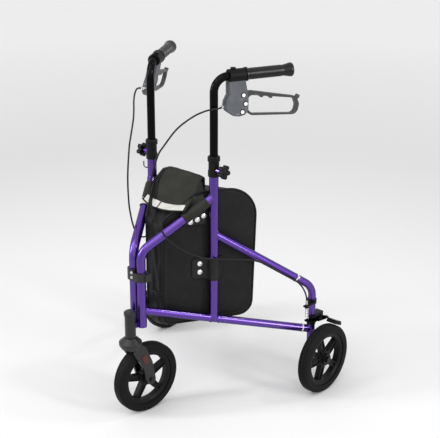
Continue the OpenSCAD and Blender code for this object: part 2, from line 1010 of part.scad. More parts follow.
module front_axle() {
    color([0.14, 0.14, 0.145])
        at_front_wheel() {
            cylinder(h = 2 * fork_out + 8, r = front_axle_r, center = true);
            for (s = [-1, 1])
                translate([0, 0, s * (fork_out + 2.5 + eps)])
                    cylinder(h = 5, r = 7, center = true, $fn = 6);
            for (s = [-1, 1])
                translate([0, 0, s * (hub_hw + fork_gap) / 2])
                    cylinder(h = fork_gap - hub_hw - 0.7, r = 7, center = true);
        }
}

module front_wheel() {
    color([0.04, 0.04, 0.042])
        at_front_wheel()
            wheel_body(front_axle_r, 90 + 22);
}

module front_tyre() {
    color([0.075, 0.075, 0.078])
        at_front_wheel()
            tyre_body();
}

// Bag hung between the side frames: two swelling halves, folded in at the back,
// under a sloping flap. Each corner of a side panel is back, up and its radius.
bag_corners = [[78, 552, 10], [181, 567, 60], [250, 546, 81], [282, 290, 40], [86, 270, 20]];
flap_front = [98, 589];
flap_back = [181, 660];
flap_angle = atan2(flap_back[1] - flap_front[1], flap_back[0] - flap_front[0]);
flap_len = norm(flap_back - flap_front);

module bag_panel() {
    hull($fn = 40)
        for (q = bag_corners)
            translate([q[0], q[1]])
                circle(q[2]);
}

module bag() {
    color([0.03, 0.03, 0.033]) {
        for (s = [0, 1])
            mirror([s, 0, 0])
                hull() {
                    rotate([90, 0, 90])
                        linear_extrude(0.2)
                            intersection() {
                                translate([bag_inset / 2, 0])
                                    scale([cos(open_angle), 1])
                                        bag_panel();
                                square([bag_fold_y, 1000]);
                            }
                    on_frame()
                        translate([0, bag_inset, 0])
                            slab(0.4)
                                bag_panel();
                }
        translate([-44, flap_front[0] - 2, 560])
            cube([88, 6, 29]);
        translate([0, flap_front[0], flap_front[1]])
            rotate([flap_angle, 0, 0])
                translate([-76, 0, -3.5])
                    cube([152, flap_len, 4]);
    }
}

module bag_tape() {
    color([0.85, 0.85, 0.83])
        translate([0, flap_front[0], flap_front[1]])
            rotate([flap_angle, 0, 0])
                translate([-75, 2, 0.5 + eps])
                    cube([150, 16, 0.8]);
}

centred() hinge_block();
centred() lower_bracket();
centred() stem_housing();
centred() hinge_fasteners();
centred() bag();
centred() bag_tape();
centred() caster_fork();
centred() fork_inlays();
centred() front_axle();
centred() front_wheel();
centred() front_tyre();
centred() front_tube();  // front_tube_left
centred() upright();  // upright_left
centred() lower_rail();  // lower_rail_left
centred() rear_tube();  // rear_tube_left
centred() collar();  // collar_left
centred() axle_bolts();  // axle_bolts_left
centred() brake_bracket();  // brake_bracket_left
centred() brake_spring();  // brake_spring_left
centred() cable_ties();  // cable_ties_left
centred() bag_straps();  // bag_straps_left
centred() bag_snaps();  // bag_snaps_left
centred() brake_cable();  // brake_cable_left
centred() handle_tube();  // handle_tube_left
centred() grip();  // grip_left
centred() brake_housing();  // brake_housing_left
centred() housing_rivets();  // housing_rivets_left
centred() cable_adjuster();  // cable_adjuster_left
centred() brake_lever();  // brake_lever_left
centred() height_knob();  // height_knob_left
centred() brake_arm();  // brake_arm_left
centred() brake_shoe();  // brake_shoe_left
centred() rear_wheel();  // rear_wheel_left
centred() rear_tyre();  // rear_tyre_left
centred() mirrored() front_tube();  // front_tube_right
centred() mirrored() upright();  // upright_right
centred() mirrored() lower_rail();  // lower_rail_right
centred() mirrored() rear_tube();  // rear_tube_right
centred() mirrored() collar();  // collar_right
centred() mirrored() axle_bolts();  // axle_bolts_right
centred() mirrored() brake_bracket();  // brake_bracket_right
centred() mirrored() brake_spring();  // brake_spring_right
centred() mirrored() cable_ties();  // cable_ties_right
centred() mirrored() bag_straps();  // bag_straps_right
centred() mirrored() bag_snaps();  // bag_snaps_right
centred() mirrored() brake_cable();  // brake_cable_right
centred() mirrored() cable_hook();  // cable_hook_right
centred() mirrored() handle_tube();  // handle_tube_right
centred() mirrored() grip();  // grip_right
centred() mirrored() brake_housing();  // brake_housing_right
centred() mirrored() housing_rivets();  // housing_rivets_right
centred() mirrored() cable_adjuster();  // cable_adjuster_right
centred() mirrored() brake_lever();  // brake_lever_right
centred() mirrored() height_knob();  // height_knob_right
centred() mirrored() brake_arm();  // brake_arm_right
centred() mirrored() brake_shoe();  // brake_shoe_right
centred() mirrored() rear_wheel();  // rear_wheel_right
centred() mirrored() rear_tyre();  // rear_tyre_right
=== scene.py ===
"""Looks of a folding three wheel rollator: finishes, bag, cables, welds and stage."""

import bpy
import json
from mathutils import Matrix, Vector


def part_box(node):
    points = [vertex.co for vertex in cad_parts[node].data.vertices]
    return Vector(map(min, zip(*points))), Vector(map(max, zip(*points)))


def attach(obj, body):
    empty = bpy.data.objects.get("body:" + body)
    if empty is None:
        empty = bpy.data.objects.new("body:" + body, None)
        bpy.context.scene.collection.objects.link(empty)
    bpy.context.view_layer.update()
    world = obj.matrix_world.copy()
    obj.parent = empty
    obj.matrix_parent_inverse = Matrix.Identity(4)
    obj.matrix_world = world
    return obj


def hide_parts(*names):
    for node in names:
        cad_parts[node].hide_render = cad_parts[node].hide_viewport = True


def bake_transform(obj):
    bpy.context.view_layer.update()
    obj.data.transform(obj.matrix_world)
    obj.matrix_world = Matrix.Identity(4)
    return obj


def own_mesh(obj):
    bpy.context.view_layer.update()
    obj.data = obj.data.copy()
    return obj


bl_info = {
    "name": "Three Wheel Rollator",
    "version": (1, 0, 0),
    "blender": (4, 5, 0),
    "location": "View3D > Sidebar > Rollator",
    "description": "Finishes, bag, cables, welds and stage of a folding three wheel rollator",
    "category": "Object",
}

import json
import math
from functools import cache

import bmesh
import bpy
from bpy.props import FloatProperty, FloatVectorProperty, PointerProperty
from mathutils import Matrix, Vector, noise

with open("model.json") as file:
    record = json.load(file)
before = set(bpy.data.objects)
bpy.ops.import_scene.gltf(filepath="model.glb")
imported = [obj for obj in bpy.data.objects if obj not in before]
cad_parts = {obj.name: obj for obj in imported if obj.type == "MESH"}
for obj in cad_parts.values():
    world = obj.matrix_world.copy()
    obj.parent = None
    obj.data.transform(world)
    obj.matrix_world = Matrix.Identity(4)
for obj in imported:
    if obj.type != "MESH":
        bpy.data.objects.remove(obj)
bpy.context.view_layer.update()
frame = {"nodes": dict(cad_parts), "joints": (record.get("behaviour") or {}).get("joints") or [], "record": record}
NODES = frame["nodes"]
JOINTS = {j["name"]: j for j in frame["joints"]}
HINGE = Vector(JOINTS["left_fold"]["pos_m"])
SIDES = (("left", 1), ("right", -1))

# Side frame, in metres: distances go back from the hinge along the frame
OPEN_ANGLE = math.radians(30)
TUBE_R = 0.0127
RAIL_R = 0.0111
UPRIGHT_BACK = 0.204
POST_BACK = 0.498
FRONT_TUBE = (Vector((0, 0.2804)), Vector((0, 0.482)))
UPRIGHT = (Vector((UPRIGHT_BACK, 0.230)), Vector((UPRIGHT_BACK, 0.715)))
POST = (Vector((POST_BACK, 0.084)), Vector((POST_BACK, 0.290)))
DIAGONAL = (Vector((0, 0.482)), Vector((UPRIGHT_BACK, 0.616)))
REAR_DIAGONAL = (Vector((UPRIGHT_BACK, 0.511)), Vector((POST_BACK, 0.313)))
RAIL = (Vector((0, 0.312)), Vector((POST_BACK, 0.180)))

# Welds: branch tube, its radius, main tube, its radius, and the side of the main tube
WELDS = (
    (DIAGONAL, TUBE_R, UPRIGHT, TUBE_R, 1), (REAR_DIAGONAL, RAIL_R, UPRIGHT, TUBE_R, -1),
    (RAIL, RAIL_R, FRONT_TUBE, TUBE_R, -1), (RAIL, RAIL_R, POST, RAIL_R, 1),
    (RAIL, RAIL_R, UPRIGHT, TUBE_R, -1), (RAIL, RAIL_R, UPRIGHT, TUBE_R, 1),
)

# Route of each brake cable beside its frame: back, outward and up, with a top of its own per side
CABLE_TOPS = {
    "left": (
        (0.2204, 0.011, 0.862), (0.213, 0.0172, 0.8615), (0.196, 0.0195, 0.8615),
        (0.170, 0.020, 0.857), (0.140, 0.0195, 0.845), (0.100, 0.0185, 0.818),
    ),
    "right": (
        (0.2192, 0.0312, 0.8674), (0.2111, 0.0364, 0.8687), (0.202, 0.0395, 0.8665),
        (0.186, 0.040, 0.857), (0.163, 0.036, 0.8435), (0.134, 0.028, 0.829),
        (0.100, 0.0205, 0.810),
    ),
}
CABLE_ROUTE = (
    (0.066, 0.018, 0.778), (0.046, 0.018, 0.747), (0.026, 0.018, 0.674), (0.030, 0.018, 0.603),
    (0.042, 0.018, 0.567), (0.058, 0.018, 0.535), (0.078, 0.018, 0.508), (0.104, 0.018, 0.486),
    (0.131, 0.018, 0.468), (0.170, 0.018, 0.4505), (0.212, 0.0175, 0.441), (0.285, 0.0165, 0.430),
    (0.318, 0.0158, 0.422), (0.346, 0.0153, 0.4085), (0.395, 0.0146, 0.3745),
    (0.4255, 0.014, 0.3544), (0.4431, 0.014, 0.3422), (0.456, 0.018, 0.329), (0.464, 0.026, 0.313),
    (0.467, 0.033, 0.297), (0.4675, 0.0348, 0.2755),
)

# Bag: its side panels lie inside the frames, back and up along each frame
BAG_INSET = 0.0185
PANEL_CORNERS = (
    ((0.068, 0.557), 0.010), ((0.161, 0.627), 0.060), ((0.333, 0.627), 0.082),
    ((0.321, 0.250), 0.040), ((0.066, 0.250), 0.020),
)
PANEL_RINGS = (1.0, 0.985, 0.965, 0.94, 0.9, 0.82, 0.7, 0.55, 0.4, 0.25, 0.12)
PANEL_STEP = 0.008
PANEL_DENT = 0.0030
FOLD_LINE = 0.196
GUSSET_CREASE = 0.004
GUSSET_SAG = (0.013, 0.006)
FLAP_BACK = (0.181, 0.660)
FLAP_FRONT = (0.098, 0.589)
FLAP_HALF = (0.068, 0.080)
FLAP_LIP = (0, -0.010, -0.013)
FLAP_SAG = -0.006
FLAP_DENT = 0.0030
FLAP_SHOULDER = 0.72
FLAP_DROP = -0.006
FLAP_VALLEY = -0.011
VALLEY_POWER = 0.7
FLAP_CREASE = (-0.97, -0.14)
CREASE_POWER = 2.2
WING_FROM = 0.120
WING_TO = 0.186
WING_ROWS = 18
WING_STEPS = 3
WING_SEAM = 0.90
WING_SPAN = 0.94
WING_GAP = 0.0012
WING_TURN = (140, 115, 90, 60, 30, 0, -30, -60)
WING_HANG = -75
WING_DROP = 0.003
TAB_FROM = (0.137, -0.0092, 0.536)
TAB_TO = (0.186, -0.0092, 0.537)


# Properties

COLOUR = {"subtype": "COLOR", "size": 3, "min": 0.0, "max": 1.0}


class RollatorSizes(bpy.types.PropertyGroup):
    """Sizes of the pieces that are added to the frame"""

    cable_d: FloatProperty(
        name="Cable diameter", description="Outside diameter of the brake cables",
        default=0.0046, min=0.003, max=0.008, unit="LENGTH")
    piping_r: FloatProperty(
        name="Piping radius", description="Radius of the cord sewn into the bag's edges",
        default=0.0026, min=0.001, max=0.006, unit="LENGTH")
    vinyl_t: FloatProperty(
        name="Vinyl thickness", description="Thickness of the bag's straps and flap",
        default=0.0018, min=0.0008, max=0.004, unit="LENGTH")
    panel_crown: FloatProperty(
        name="Panel crown", description="Height of the soft swell of each side panel",
        default=0.005, min=0.0, max=0.02, unit="LENGTH")
    stitch: FloatProperty(
        name="Stitch length", description="Length of one stitch along a seam",
        default=0.0034, min=0.002, max=0.006, unit="LENGTH")
    tape_w: FloatProperty(
        name="Tape width", description="Width of the pale tape on the flap",
        default=0.017, min=0.008, max=0.03, unit="LENGTH")
    snap_r: FloatProperty(
        name="Snap radius", description="Radius of the snap caps",
        default=0.0073, min=0.004, max=0.009, unit="LENGTH")
    bead_r: FloatProperty(
        name="Weld bead", description="Radius of the weld beads at the tube joints",
        default=0.0019, min=0.001, max=0.004, unit="LENGTH")


class RollatorColours(bpy.types.PropertyGroup):
    """Colours of the main finishes"""

    paint: FloatVectorProperty(
        name="Frame paint", description="Metallic paint of the frame tubes",
        default=(0.076, 0.021, 0.268), **COLOUR)
    handle: FloatVectorProperty(
        name="Handle paint", description="Gloss paint of the handle tubes",
        default=(0.0005, 0.0005, 0.0006), **COLOUR)
    moulding: FloatVectorProperty(
        name="Moulding", description="Black moulded plastic",
        default=(0.0042, 0.0042, 0.0045), **COLOUR)
    housing: FloatVectorProperty(
        name="Housing", description="Dark grey plastic of the lever housings",
        default=(0.098, 0.103, 0.113), **COLOUR)
    lever: FloatVectorProperty(
        name="Lever", description="Grey plastic of the brake levers",
        default=(0.044, 0.044, 0.046), **COLOUR)
    fork: FloatVectorProperty(
        name="Fork", description="Dark plastic of the caster fork and the front blocks",
        default=(0.0110, 0.0110, 0.0106), **COLOUR)
    vinyl: FloatVectorProperty(
        name="Vinyl", description="Bag vinyl",
        default=(0.0105, 0.0105, 0.0103), **COLOUR)
    flap: FloatVectorProperty(
        name="Flap", description="Vinyl of the bag's flap and its wings",
        default=(0.0165, 0.0165, 0.0138), **COLOUR)
    rubber: FloatVectorProperty(
        name="Tyre rubber", description="Tyres",
        default=(0.0062, 0.0062, 0.0065), **COLOUR)
    tape: FloatVectorProperty(
        name="Tape", description="Pale tape on the bag's flap",
        default=(0.62, 0.61, 0.57), **COLOUR)
    inlay: FloatVectorProperty(
        name="Fork inlay", description="Plain inlay of the fork arms",
        default=(0.056, 0.017, 0.012), **COLOUR)
    floor: FloatVectorProperty(
        name="Floor", description="Pale studio floor",
        default=(0.805, 0.805, 0.808), **COLOUR)


class RollatorStage(bpy.types.PropertyGroup):
    """Camera and light"""

    lens: FloatProperty(
        name="Lens", description="Focal length on a 36 mm wide sensor, in millimetres",
        default=90.0, min=20.0, max=200.0)
    camera: FloatVectorProperty(
        name="Camera", description="Place of the camera",
        subtype="TRANSLATION", size=3, default=(1.95942, HINGE.y - 1.87062, 1.60594))
    facing: FloatVectorProperty(
        name="Facing", description="Direction in which the camera looks",
        size=3, default=(-0.6209, 0.69778, -0.35718))
    roll: FloatProperty(
        name="Roll", description="Turn of the camera about its view",
        default=math.radians(0.15), min=-0.5, max=0.5, subtype="ANGLE")
    top_light: FloatProperty(
        name="Top light", description="Strength of the broad soft light from above",
        default=1.5, min=0.0, max=10.0)
    side_light: FloatProperty(
        name="Side light", description="Power of the two upright side lights, in watts",
        default=9.0, min=0.0, max=1000.0)
    ambient: FloatProperty(
        name="Ambient", description="Strength of the even light from all round",
        default=0.56, min=0.0, max=2.0)


def sizes():
    return bpy.context.scene.rollator_sizes


def colours():
    return bpy.context.scene.rollator_colours


# Mesh helpers

WELD_GAP = 1e-5


def spread(start, end, count):
    """Even values from start to end, both included."""
    return [start + (end - start) * k / count for k in range(count + 1)]


def on_side(side, back, out, up):
    """Point beside a side frame: back from the hinge, outward from the frame's plane, up."""
    x = HINGE.x + back * math.sin(OPEN_ANGLE) + out * math.cos(OPEN_ANGLE)
    y = HINGE.y + back * math.cos(OPEN_ANGLE) - out * math.sin(OPEN_ANGLE)
    return Vector((side * x, y, up))


def outward(side):
    """Direction away from a side frame's plane."""
    return on_side(side, 0, 1, 0) - on_side(side, 0, 0, 0)


def turned_to(point, way):
    """Matrix at a point whose Z axis follows a direction."""
    return Matrix.Translation(point) @ way.to_track_quat("Z", "Y").to_matrix().to_4x4()


class Shape:
    """Points and faces of one piece, gathered before its mesh is made"""

    def __init__(self):
        self.points = []
        self.faces = []

    def add(self, points, faces):
        base = len(self.points)
        self.points.extend(points)
        self.faces.extend([tuple(base + i for i in f) for f in faces])

    def grid(self, rows, around=False):
        """Quads between rows of points; around closes each row on itself."""
        count = len(rows[0])
        last = count if around else count - 1
        faces = [
            (i * count + k, i * count + (k + 1) % count,
             (i + 1) * count + (k + 1) % count, (i + 1) * count + k)
            for i in range(len(rows) - 1) for k in range(last)
        ]
        self.add([p for row in rows for p in row], faces)

    def tube(self, path, radius, sides, closed=False):
        """Round tube along a path, its rings carried along without twist; open ends are capped."""
        count = len(path)
        turns = [math.tau * k / sides for k in range(sides)]
        side = None
        rings = []
        for i, p in enumerate(path):
            if closed:
                along = path[(i + 1) % count] - path[i - 1]
            else:
                along = path[min(i + 1, count - 1)] - path[max(i - 1, 0)]
            along.normalize()
            if side is None:
                side = along.orthogonal()
            side = (side - along * side.dot(along)).normalized()
            other = along.cross(side)
            r = radius(i / max(count - 1, 1)) if callable(radius) else radius
            rings.append([p + r * (math.cos(t) * side + math.sin(t) * other) for t in turns])
        if closed:
            rings.append(rings[0])
        start = len(self.points)
        self.grid(rings, around=True)
        if not closed:
            end = start + (count - 1) * sides
            self.faces.append(tuple(range(start + sides - 1, start - 1, -1)))
            self.faces.append(tuple(range(end, end + sides)))

    def lathe(self, profile, place, steps=24):
        """Profile of (radius, height) turned about the Z axis of a matrix."""
        turns = [math.tau * k / steps for k in range(steps)]
        self.grid([
            [place @ Vector((r * math.cos(t), r * math.sin(t), h)) for t in turns]
            for r, h in profile
        ], around=True)

    def mesh(self, name):
        mesh = bpy.data.meshes.new(name)
        mesh.from_pydata([tuple(p) for p in self.points], [], self.faces)
        mesh.validate()
        work = bmesh.new()
        work.from_mesh(mesh)
        bmesh.ops.remove_doubles(work, verts=work.verts, dist=WELD_GAP)
        bmesh.ops.recalc_face_normals(work, faces=work.faces)
        work.to_mesh(mesh)
        work.free()
        mesh.polygons.foreach_set("use_smooth", [True] * len(mesh.polygons))
        return mesh


def piece(name, shape, look):
    """New piece with the finish of a slot."""
    obj = bpy.data.objects.new(name, shape.mesh(name))
    bpy.context.scene.collection.objects.link(obj)
    obj.data.materials.append(finish(look))
    return obj


def modify(obj, kind, **values):
    modifier = obj.modifiers.new(kind.title(), kind)
    for key, value in values.items():
        setattr(modifier, key, value)


def settle(obj):
    """Applies an object's modifiers, so that its mesh is final."""
    graph = bpy.context.evaluated_depsgraph_get()
    graph.update()
    mesh = bpy.data.meshes.new_from_object(obj.evaluated_get(graph))
    obj.modifiers.clear()
    obj.data = mesh
    return obj


def sewn(name, rows, look, offset):
    """Sheet of vinyl through rows of points, with its thickness."""
    shape = Shape()
    shape.grid(rows)
    obj = piece(name, shape, look)
    modify(obj, "SOLIDIFY", thickness=sizes().vinyl_t, offset=offset)
    modify(obj, "SUBSURF", levels=1, render_levels=1)
    return settle(obj)


def bow(a, b, c, d, u):
    """One Catmull Rom step between the middle two of four points."""
    return 0.5 * (2 * b + (c - a) * u + (2 * a - 5 * b + 4 * c - d) * u * u
                  + (3 * b - a - 3 * c + d) * u ** 3)


def smooth_path(points, steps):
    last = len(points) - 1
    path = []
    for i in range(last):
        around = [points[max(i - 1, 0)], points[i], points[i + 1], points[min(i + 2, last)]]
        path.extend(bow(*around, k / steps) for k in range(steps))
    return path + [points[-1]]


def even_path(points, spacing, closed=False):
    """The same line with points at an even spacing."""
    line = points + [points[0]] if closed else points
    lengths = [(b - a).length for a, b in zip(line, line[1:])]
    total = sum(lengths)
    count = max(2, round(total / spacing))
    step = total / count
    path, walked, i = [], 0.0, 0
    for k in range(count if closed else count + 1):
        target = min(k * step, total - 1e-9)
        while walked + lengths[i] < target:
            walked += lengths[i]
            i += 1
        path.append(line[i].lerp(line[i + 1], (target - walked) / lengths[i]))
    return path


def rounded_outline(corners, spacing):
    """Closed flat outline with each corner rounded to its own radius."""
    points = []
    count = len(corners)
    for i, (corner, radius) in enumerate(corners):
        at = Vector(corner)
        before = (Vector(corners[i - 1][0]) - at).normalized()
        after = (Vector(corners[(i + 1) % count][0]) - at).normalized()
        half = before.angle(after) / 2
        reach = radius / math.tan(half)
        centre = at + (before + after).normalized() * (radius / math.sin(half))
        first, last = at + before * reach, at + after * reach
        steps = max(3, round(radius / spacing * 2))
        for k in range(steps + 1):
            turn = (first - centre).slerp(last - centre, k / steps).normalized()
            points.append(centre + turn * radius)
    return even_path(points, spacing, closed=True)


def dents(broad, fine):
    """Uneven height from noise at a broad and a fine place."""
    return noise.noise(Vector(broad)) + 0.5 * noise.noise(Vector(fine))


# Nodes

MIX_SHARE, MIX_FROM, MIX_TO, MIX_OUT = 0, 6, 7, 2


class Nodes:
    """Short ways to add nodes to one tree; a value is a socket to link or a number to set"""

    def __init__(self, tree):
        self.tree = tree

    def feed(self, value, socket):
        if isinstance(value, bpy.types.NodeSocket):
            self.tree.links.new(value, socket)
        else:
            socket.default_value = value

    def node(self, kind, settings=None, **values):
        node = self.tree.nodes.new("ShaderNode" + kind)
        for key, value in (settings or {}).items():
            setattr(node, key, value)
        for key, value in values.items():
            self.feed(value, node.inputs[key.replace("_", " ")])
        return node

    def coordinates(self):
        """Coordinates that move with the piece."""
        return self.node("TexCoord").outputs["Object"]

    def maths(self, operation, a, b):
        node = self.node("Math", {"operation": operation})
        for socket, value in zip(node.inputs, (a, b)):
            self.feed(value, socket)
        return node.outputs[0]

    def ramp(self, value, low, high, to_low=0.0, to_high=1.0):
        """Carries a value from one range to another."""
        node = self.node("MapRange", Value=value, From_Min=low, From_Max=high,
                         To_Min=to_low, To_Max=to_high)
        return node.outputs[0]


class Group(Nodes):
    """A shader group with its inputs, on the piece's coordinates"""

    def __init__(self, name, **inputs):
        super().__init__(bpy.data.node_groups.new(name, "ShaderNodeTree"))
        for key, default in inputs.items():
            self.socket(key, "INPUT").default_value = default
        self.given = self.tree.nodes.new("NodeGroupInput").outputs
        self.place = self.coordinates()

    def socket(self, key, way):
        label = key.replace("_", " ")
        return self.tree.interface.new_socket(label, in_out=way, socket_type="NodeSocketFloat")

    def noise(self, scale, detail=3.0):
        """Noise on the piece; the scale is a number or the name of an input."""
        scale = self.given[scale] if isinstance(scale, str) else scale
        return self.node("TexNoise", Vector=self.place, Scale=scale, Detail=detail).outputs[0]

    def give(self, **outputs):
        """Makes the group's outputs and returns its tree."""
        for key in outputs:
            self.socket(key, "OUTPUT")
        ends = self.tree.nodes.new("NodeGroupOutput").inputs
        for key, value in outputs.items():
            self.feed(value, ends[key])
        return self.tree


# Shader groups shared by the materials, each built once

@cache
def moulded_grain():
    """Fine speckle of moulded plastic, rubber and powdery paint, with slow tone changes."""
    g = Group("Moulded grain", Scale=900.0, Tone_scale=14.0)
    return g.give(Height=g.noise("Scale", 4.0), Tone=g.noise("Tone scale"))


@cache
def edge_wear():
    """Mask of rubbed corners, broken up by noise."""
    g = Group("Edge wear", Reach=0.56, Breakup=160.0)
    corner = g.node("NewGeometry").outputs["Pointiness"]
    edge = g.ramp(g.maths("SUBTRACT", corner, g.given["Reach"]), 0.0, 0.06)
    broken = g.ramp(g.noise("Breakup", 5.0), 0.45, 0.62)
    return g.give(Mask=g.maths("MULTIPLY", edge, broken))


@cache
def settled_dust():
    """Mask of dust that settles on upward faces."""
    g = Group("Settled dust", Amount=0.3, Patch_scale=40.0)
    normal = g.node("NewGeometry").outputs["Normal"]
    facing = g.ramp(g.node("SeparateXYZ", Vector=normal).outputs["Z"], 0.1, 1.0)
    patches = g.ramp(g.noise("Patch scale", 6.0), 0.35, 0.75)
    settled = g.maths("MULTIPLY", facing, patches)
    return g.give(Mask=g.maths("MULTIPLY", settled, g.given["Amount"]))


@cache
def paint_flake():
    """Metallic flake: small cells of different brightness under the clear coat."""
    g = Group("Paint flake", Scale=2600.0, Cloud_scale=9.0)
    cells = g.node("TexVoronoi", Vector=g.place, Scale=g.given["Scale"])
    flake = g.node("SeparateColor", Color=cells.outputs["Color"]).outputs[0]
    return g.give(Flake=flake, Cloud=g.noise("Cloud scale"))


@cache
def vinyl_grain():
    """Embossed vinyl: small pebbles, broad soft dents and scuffs."""
    g = Group("Vinyl grain", Pebble_scale=620.0, Dent_scale=17.0)
    cells = g.node("TexVoronoi", {"feature": "SMOOTH_F1"},
                   Vector=g.place, Scale=g.given["Pebble scale"])
    domes = g.ramp(cells.outputs["Distance"], 0.0, 0.6, 1.0, 0.0)
    pebble = g.maths("ADD", domes, g.maths("MULTIPLY", g.noise(210.0, 2.0), 0.4))
    scuff = g.ramp(g.noise(55.0, 8.0), 0.5, 0.8)
    return g.give(Pebble=pebble, Dent=g.noise("Dent scale", 2.0), Scuff=scuff)


@cache
def woven_ribs():
    """Crossed ribs of a woven or beaded surface."""
    g = Group("Woven ribs", Scale=700.0)
    waves = [
        g.node("TexWave", {"bands_direction": direction}, Vector=g.place,
               Scale=g.given["Scale"], Distortion=1.5).outputs["Fac"]
        for direction in ("X", "Z")
    ]
    return g.give(Height=g.maths("MULTIPLY", *waves))


# Materials

# Height above which the housing's clamp is painted dark as shade, and the blur of that edge
CLAMP_SHADE_Z = 0.9265
CLAMP_SHADE_BLUR = 0.001
SHELF_DUST = (0.10, 0.098, 0.094)
ROAD_DUST = (0.10, 0.096, 0.092)
BAG_DUST = (0.07, 0.07, 0.064)
BLACK = (0.0, 0.0, 0.0, 1.0)


class Finish(Nodes):
    """A material with one Principled shader, to which effects are added"""

    def __init__(self, name, colour, **values):
        if isinstance(colour, str):
            colour = getattr(colours(), colour)
        self.material = bpy.data.materials.new(name)
        self.material.use_nodes = True
        super().__init__(self.material.node_tree)
        self.inputs = self.tree.nodes["Principled BSDF"].inputs
        self.colour = (*colour, 1.0)
        self.inputs["Base Color"].default_value = self.colour
        self.material.diffuse_color = self.colour
        for key, value in values.items():
            self.inputs[key.replace("_", " ")].default_value = value

    def effect(self, make, **values):
        """Places a shared group and returns its outputs."""
        return self.node("Group", {"node_tree": make()}, **values).outputs

    def tint(self, mask, colour):
        """Mixes another colour into the base colour by a mask."""
        mix = self.node("Mix", {"data_type": "RGBA"})
        socket = self.inputs["Base Color"]
        before = socket.links[0].from_socket if socket.is_linked else self.colour
        self.feed(mask, mix.inputs[MIX_SHARE])
        self.feed(before, mix.inputs[MIX_FROM])
        self.feed((*colour, 1.0), mix.inputs[MIX_TO])
        self.feed(mix.outputs[MIX_OUT], socket)

    def tone(self, amount):
        """The base colour made lighter or darker."""
        return tuple(min(1.0, c * amount) for c in self.colour[:3])

    def mottle(self, value, low, high, share, amount):
        """Mixes in a share of another tone as a value goes from low to high."""
        self.tint(self.ramp(value, low, high, 0.0, share), self.tone(amount))

    def rough(self, value, low, high):
        """Lets the roughness follow a value between two numbers."""
        self.feed(self.ramp(value, 0.25, 0.75, low, high), self.inputs["Roughness"])

    def bump(self, height, distance, strength=1.0):
        """Adds a layer of bump under those already there."""
        node = self.node("Bump", Strength=strength, Distance=distance, Height=height)
        socket = self.inputs["Normal"]
        if socket.is_linked:
            self.feed(socket.links[0].from_socket, node.inputs["Normal"])
        self.feed(node.outputs[0], socket)


def frame_paint():
    """Metallic paint under a clear coat that thins out towards the tubes' edges."""
    f = Finish("Frame paint", "paint", Metallic=1.0, Roughness=0.34, Coat_Roughness=0.03,
               Specular_Tint=BLACK)
    flake = f.effect(paint_flake)
    f.mottle(flake["Flake"], 0.5, 1.0, share=0.25, amount=1.6)
    f.mottle(flake["Cloud"], 0.4, 0.8, share=0.25, amount=0.75)
    edge = f.node("LayerWeight", Blend=0.5).outputs["Facing"]
    f.feed(f.ramp(edge, 0.45, 0.90, 1.0, 0.20), f.inputs["Coat Weight"])
    f.rough(flake["Flake"], 0.30, 0.38)
    f.bump(f.effect(moulded_grain, Scale=120.0)["Height"], 0.00003)
    return f


def handle_paint():
    f = Finish("Handle paint", "handle", Roughness=0.16, Specular_IOR_Level=0.02,
               Coat_Weight=0.17, Coat_Roughness=0.06)
    grain = f.effect(moulded_grain, Scale=300.0, Tone_scale=30.0)
    f.rough(grain["Tone"], 0.12, 0.24)
    f.bump(grain["Height"], 0.00004)
    return f


def moulding(name, colour, grain_scale, depth, low, high, dust=0.06, shine=0.12):
    """Moulded plastic: grain, slow tone changes, pale rubbed edges and a little dust."""
    f = Finish(name, colour, Roughness=(low + high) / 2, Specular_IOR_Level=shine)
    grain = f.effect(moulded_grain, Scale=grain_scale, Tone_scale=22.0)
    f.mottle(grain["Tone"], 0.35, 0.75, share=0.6, amount=1.5)
    f.tint(f.effect(edge_wear)["Mask"], f.tone(2.6))
    f.tint(f.effect(settled_dust, Amount=dust)["Mask"], SHELF_DUST)
    f.rough(grain["Tone"], low, high)
    f.bump(grain["Height"], depth)
    return f


def housing_plastic():
    """Grey moulding of the lever housing, whose clamp round the handle tube is painted darker as shade."""
    f = moulding("Housing plastic", "housing", 1100.0, 0.00016, 0.42, 0.60)
    height = f.node("SeparateXYZ", Vector=f.coordinates()).outputs["Z"]
    # Painted shade: above this height the clamp takes the black moulding's colour, standing in for the darker look
    # of its round faces under the lights.
    f.tint(f.ramp(height, CLAMP_SHADE_Z - CLAMP_SHADE_BLUR, CLAMP_SHADE_Z + CLAMP_SHADE_BLUR), colours().moulding)
    return f


def tyre_rubber():
    f = Finish("Tyre rubber", "rubber", Roughness=0.60, Specular_IOR_Level=0.08)
    grain = f.effect(moulded_grain, Scale=420.0, Tone_scale=18.0)
    f.mottle(grain["Tone"], 0.3, 0.8, share=0.7, amount=1.5)
    f.tint(f.effect(settled_dust, Amount=0.10, Patch_scale=70.0)["Mask"], ROAD_DUST)
    f.rough(grain["Tone"], 0.48, 0.72)
    f.bump(grain["Height"], 0.00018)
    return f


def bright_metal(name, colour, roughness, streak):
    """Plated metal with faint streaks."""
    f = Finish(name, colour, Metallic=1.0, Roughness=roughness)
    grain = f.effect(moulded_grain, Scale=streak, Tone_scale=90.0)
    f.mottle(grain["Tone"], 0.4, 0.8, share=0.5, amount=0.72)
    f.rough(grain["Height"], roughness * 0.7, roughness * 1.5)
    f.bump(grain["Height"], 0.00003)
    return f


def vinyl(name, colour, shine):
    """Grained vinyl with soft dents, scuffs and a little dust."""
    f = Finish(name, colour, Roughness=0.46, Specular_IOR_Level=shine)
    grain = f.effect(vinyl_grain)
    f.mottle(grain["Dent"], 0.35, 0.75, share=0.55, amount=1.5)
    f.mottle(grain["Scuff"], 0.0, 1.0, share=0.2, amount=3.0)
    f.tint(f.effect(settled_dust, Amount=0.12, Patch_scale=26.0)["Mask"], BAG_DUST)
    f.rough(grain["Dent"], 0.40, 0.56)
    f.bump(grain["Dent"], 0.0016, 0.6)
    f.bump(grain["Pebble"], 0.00020)
    return f


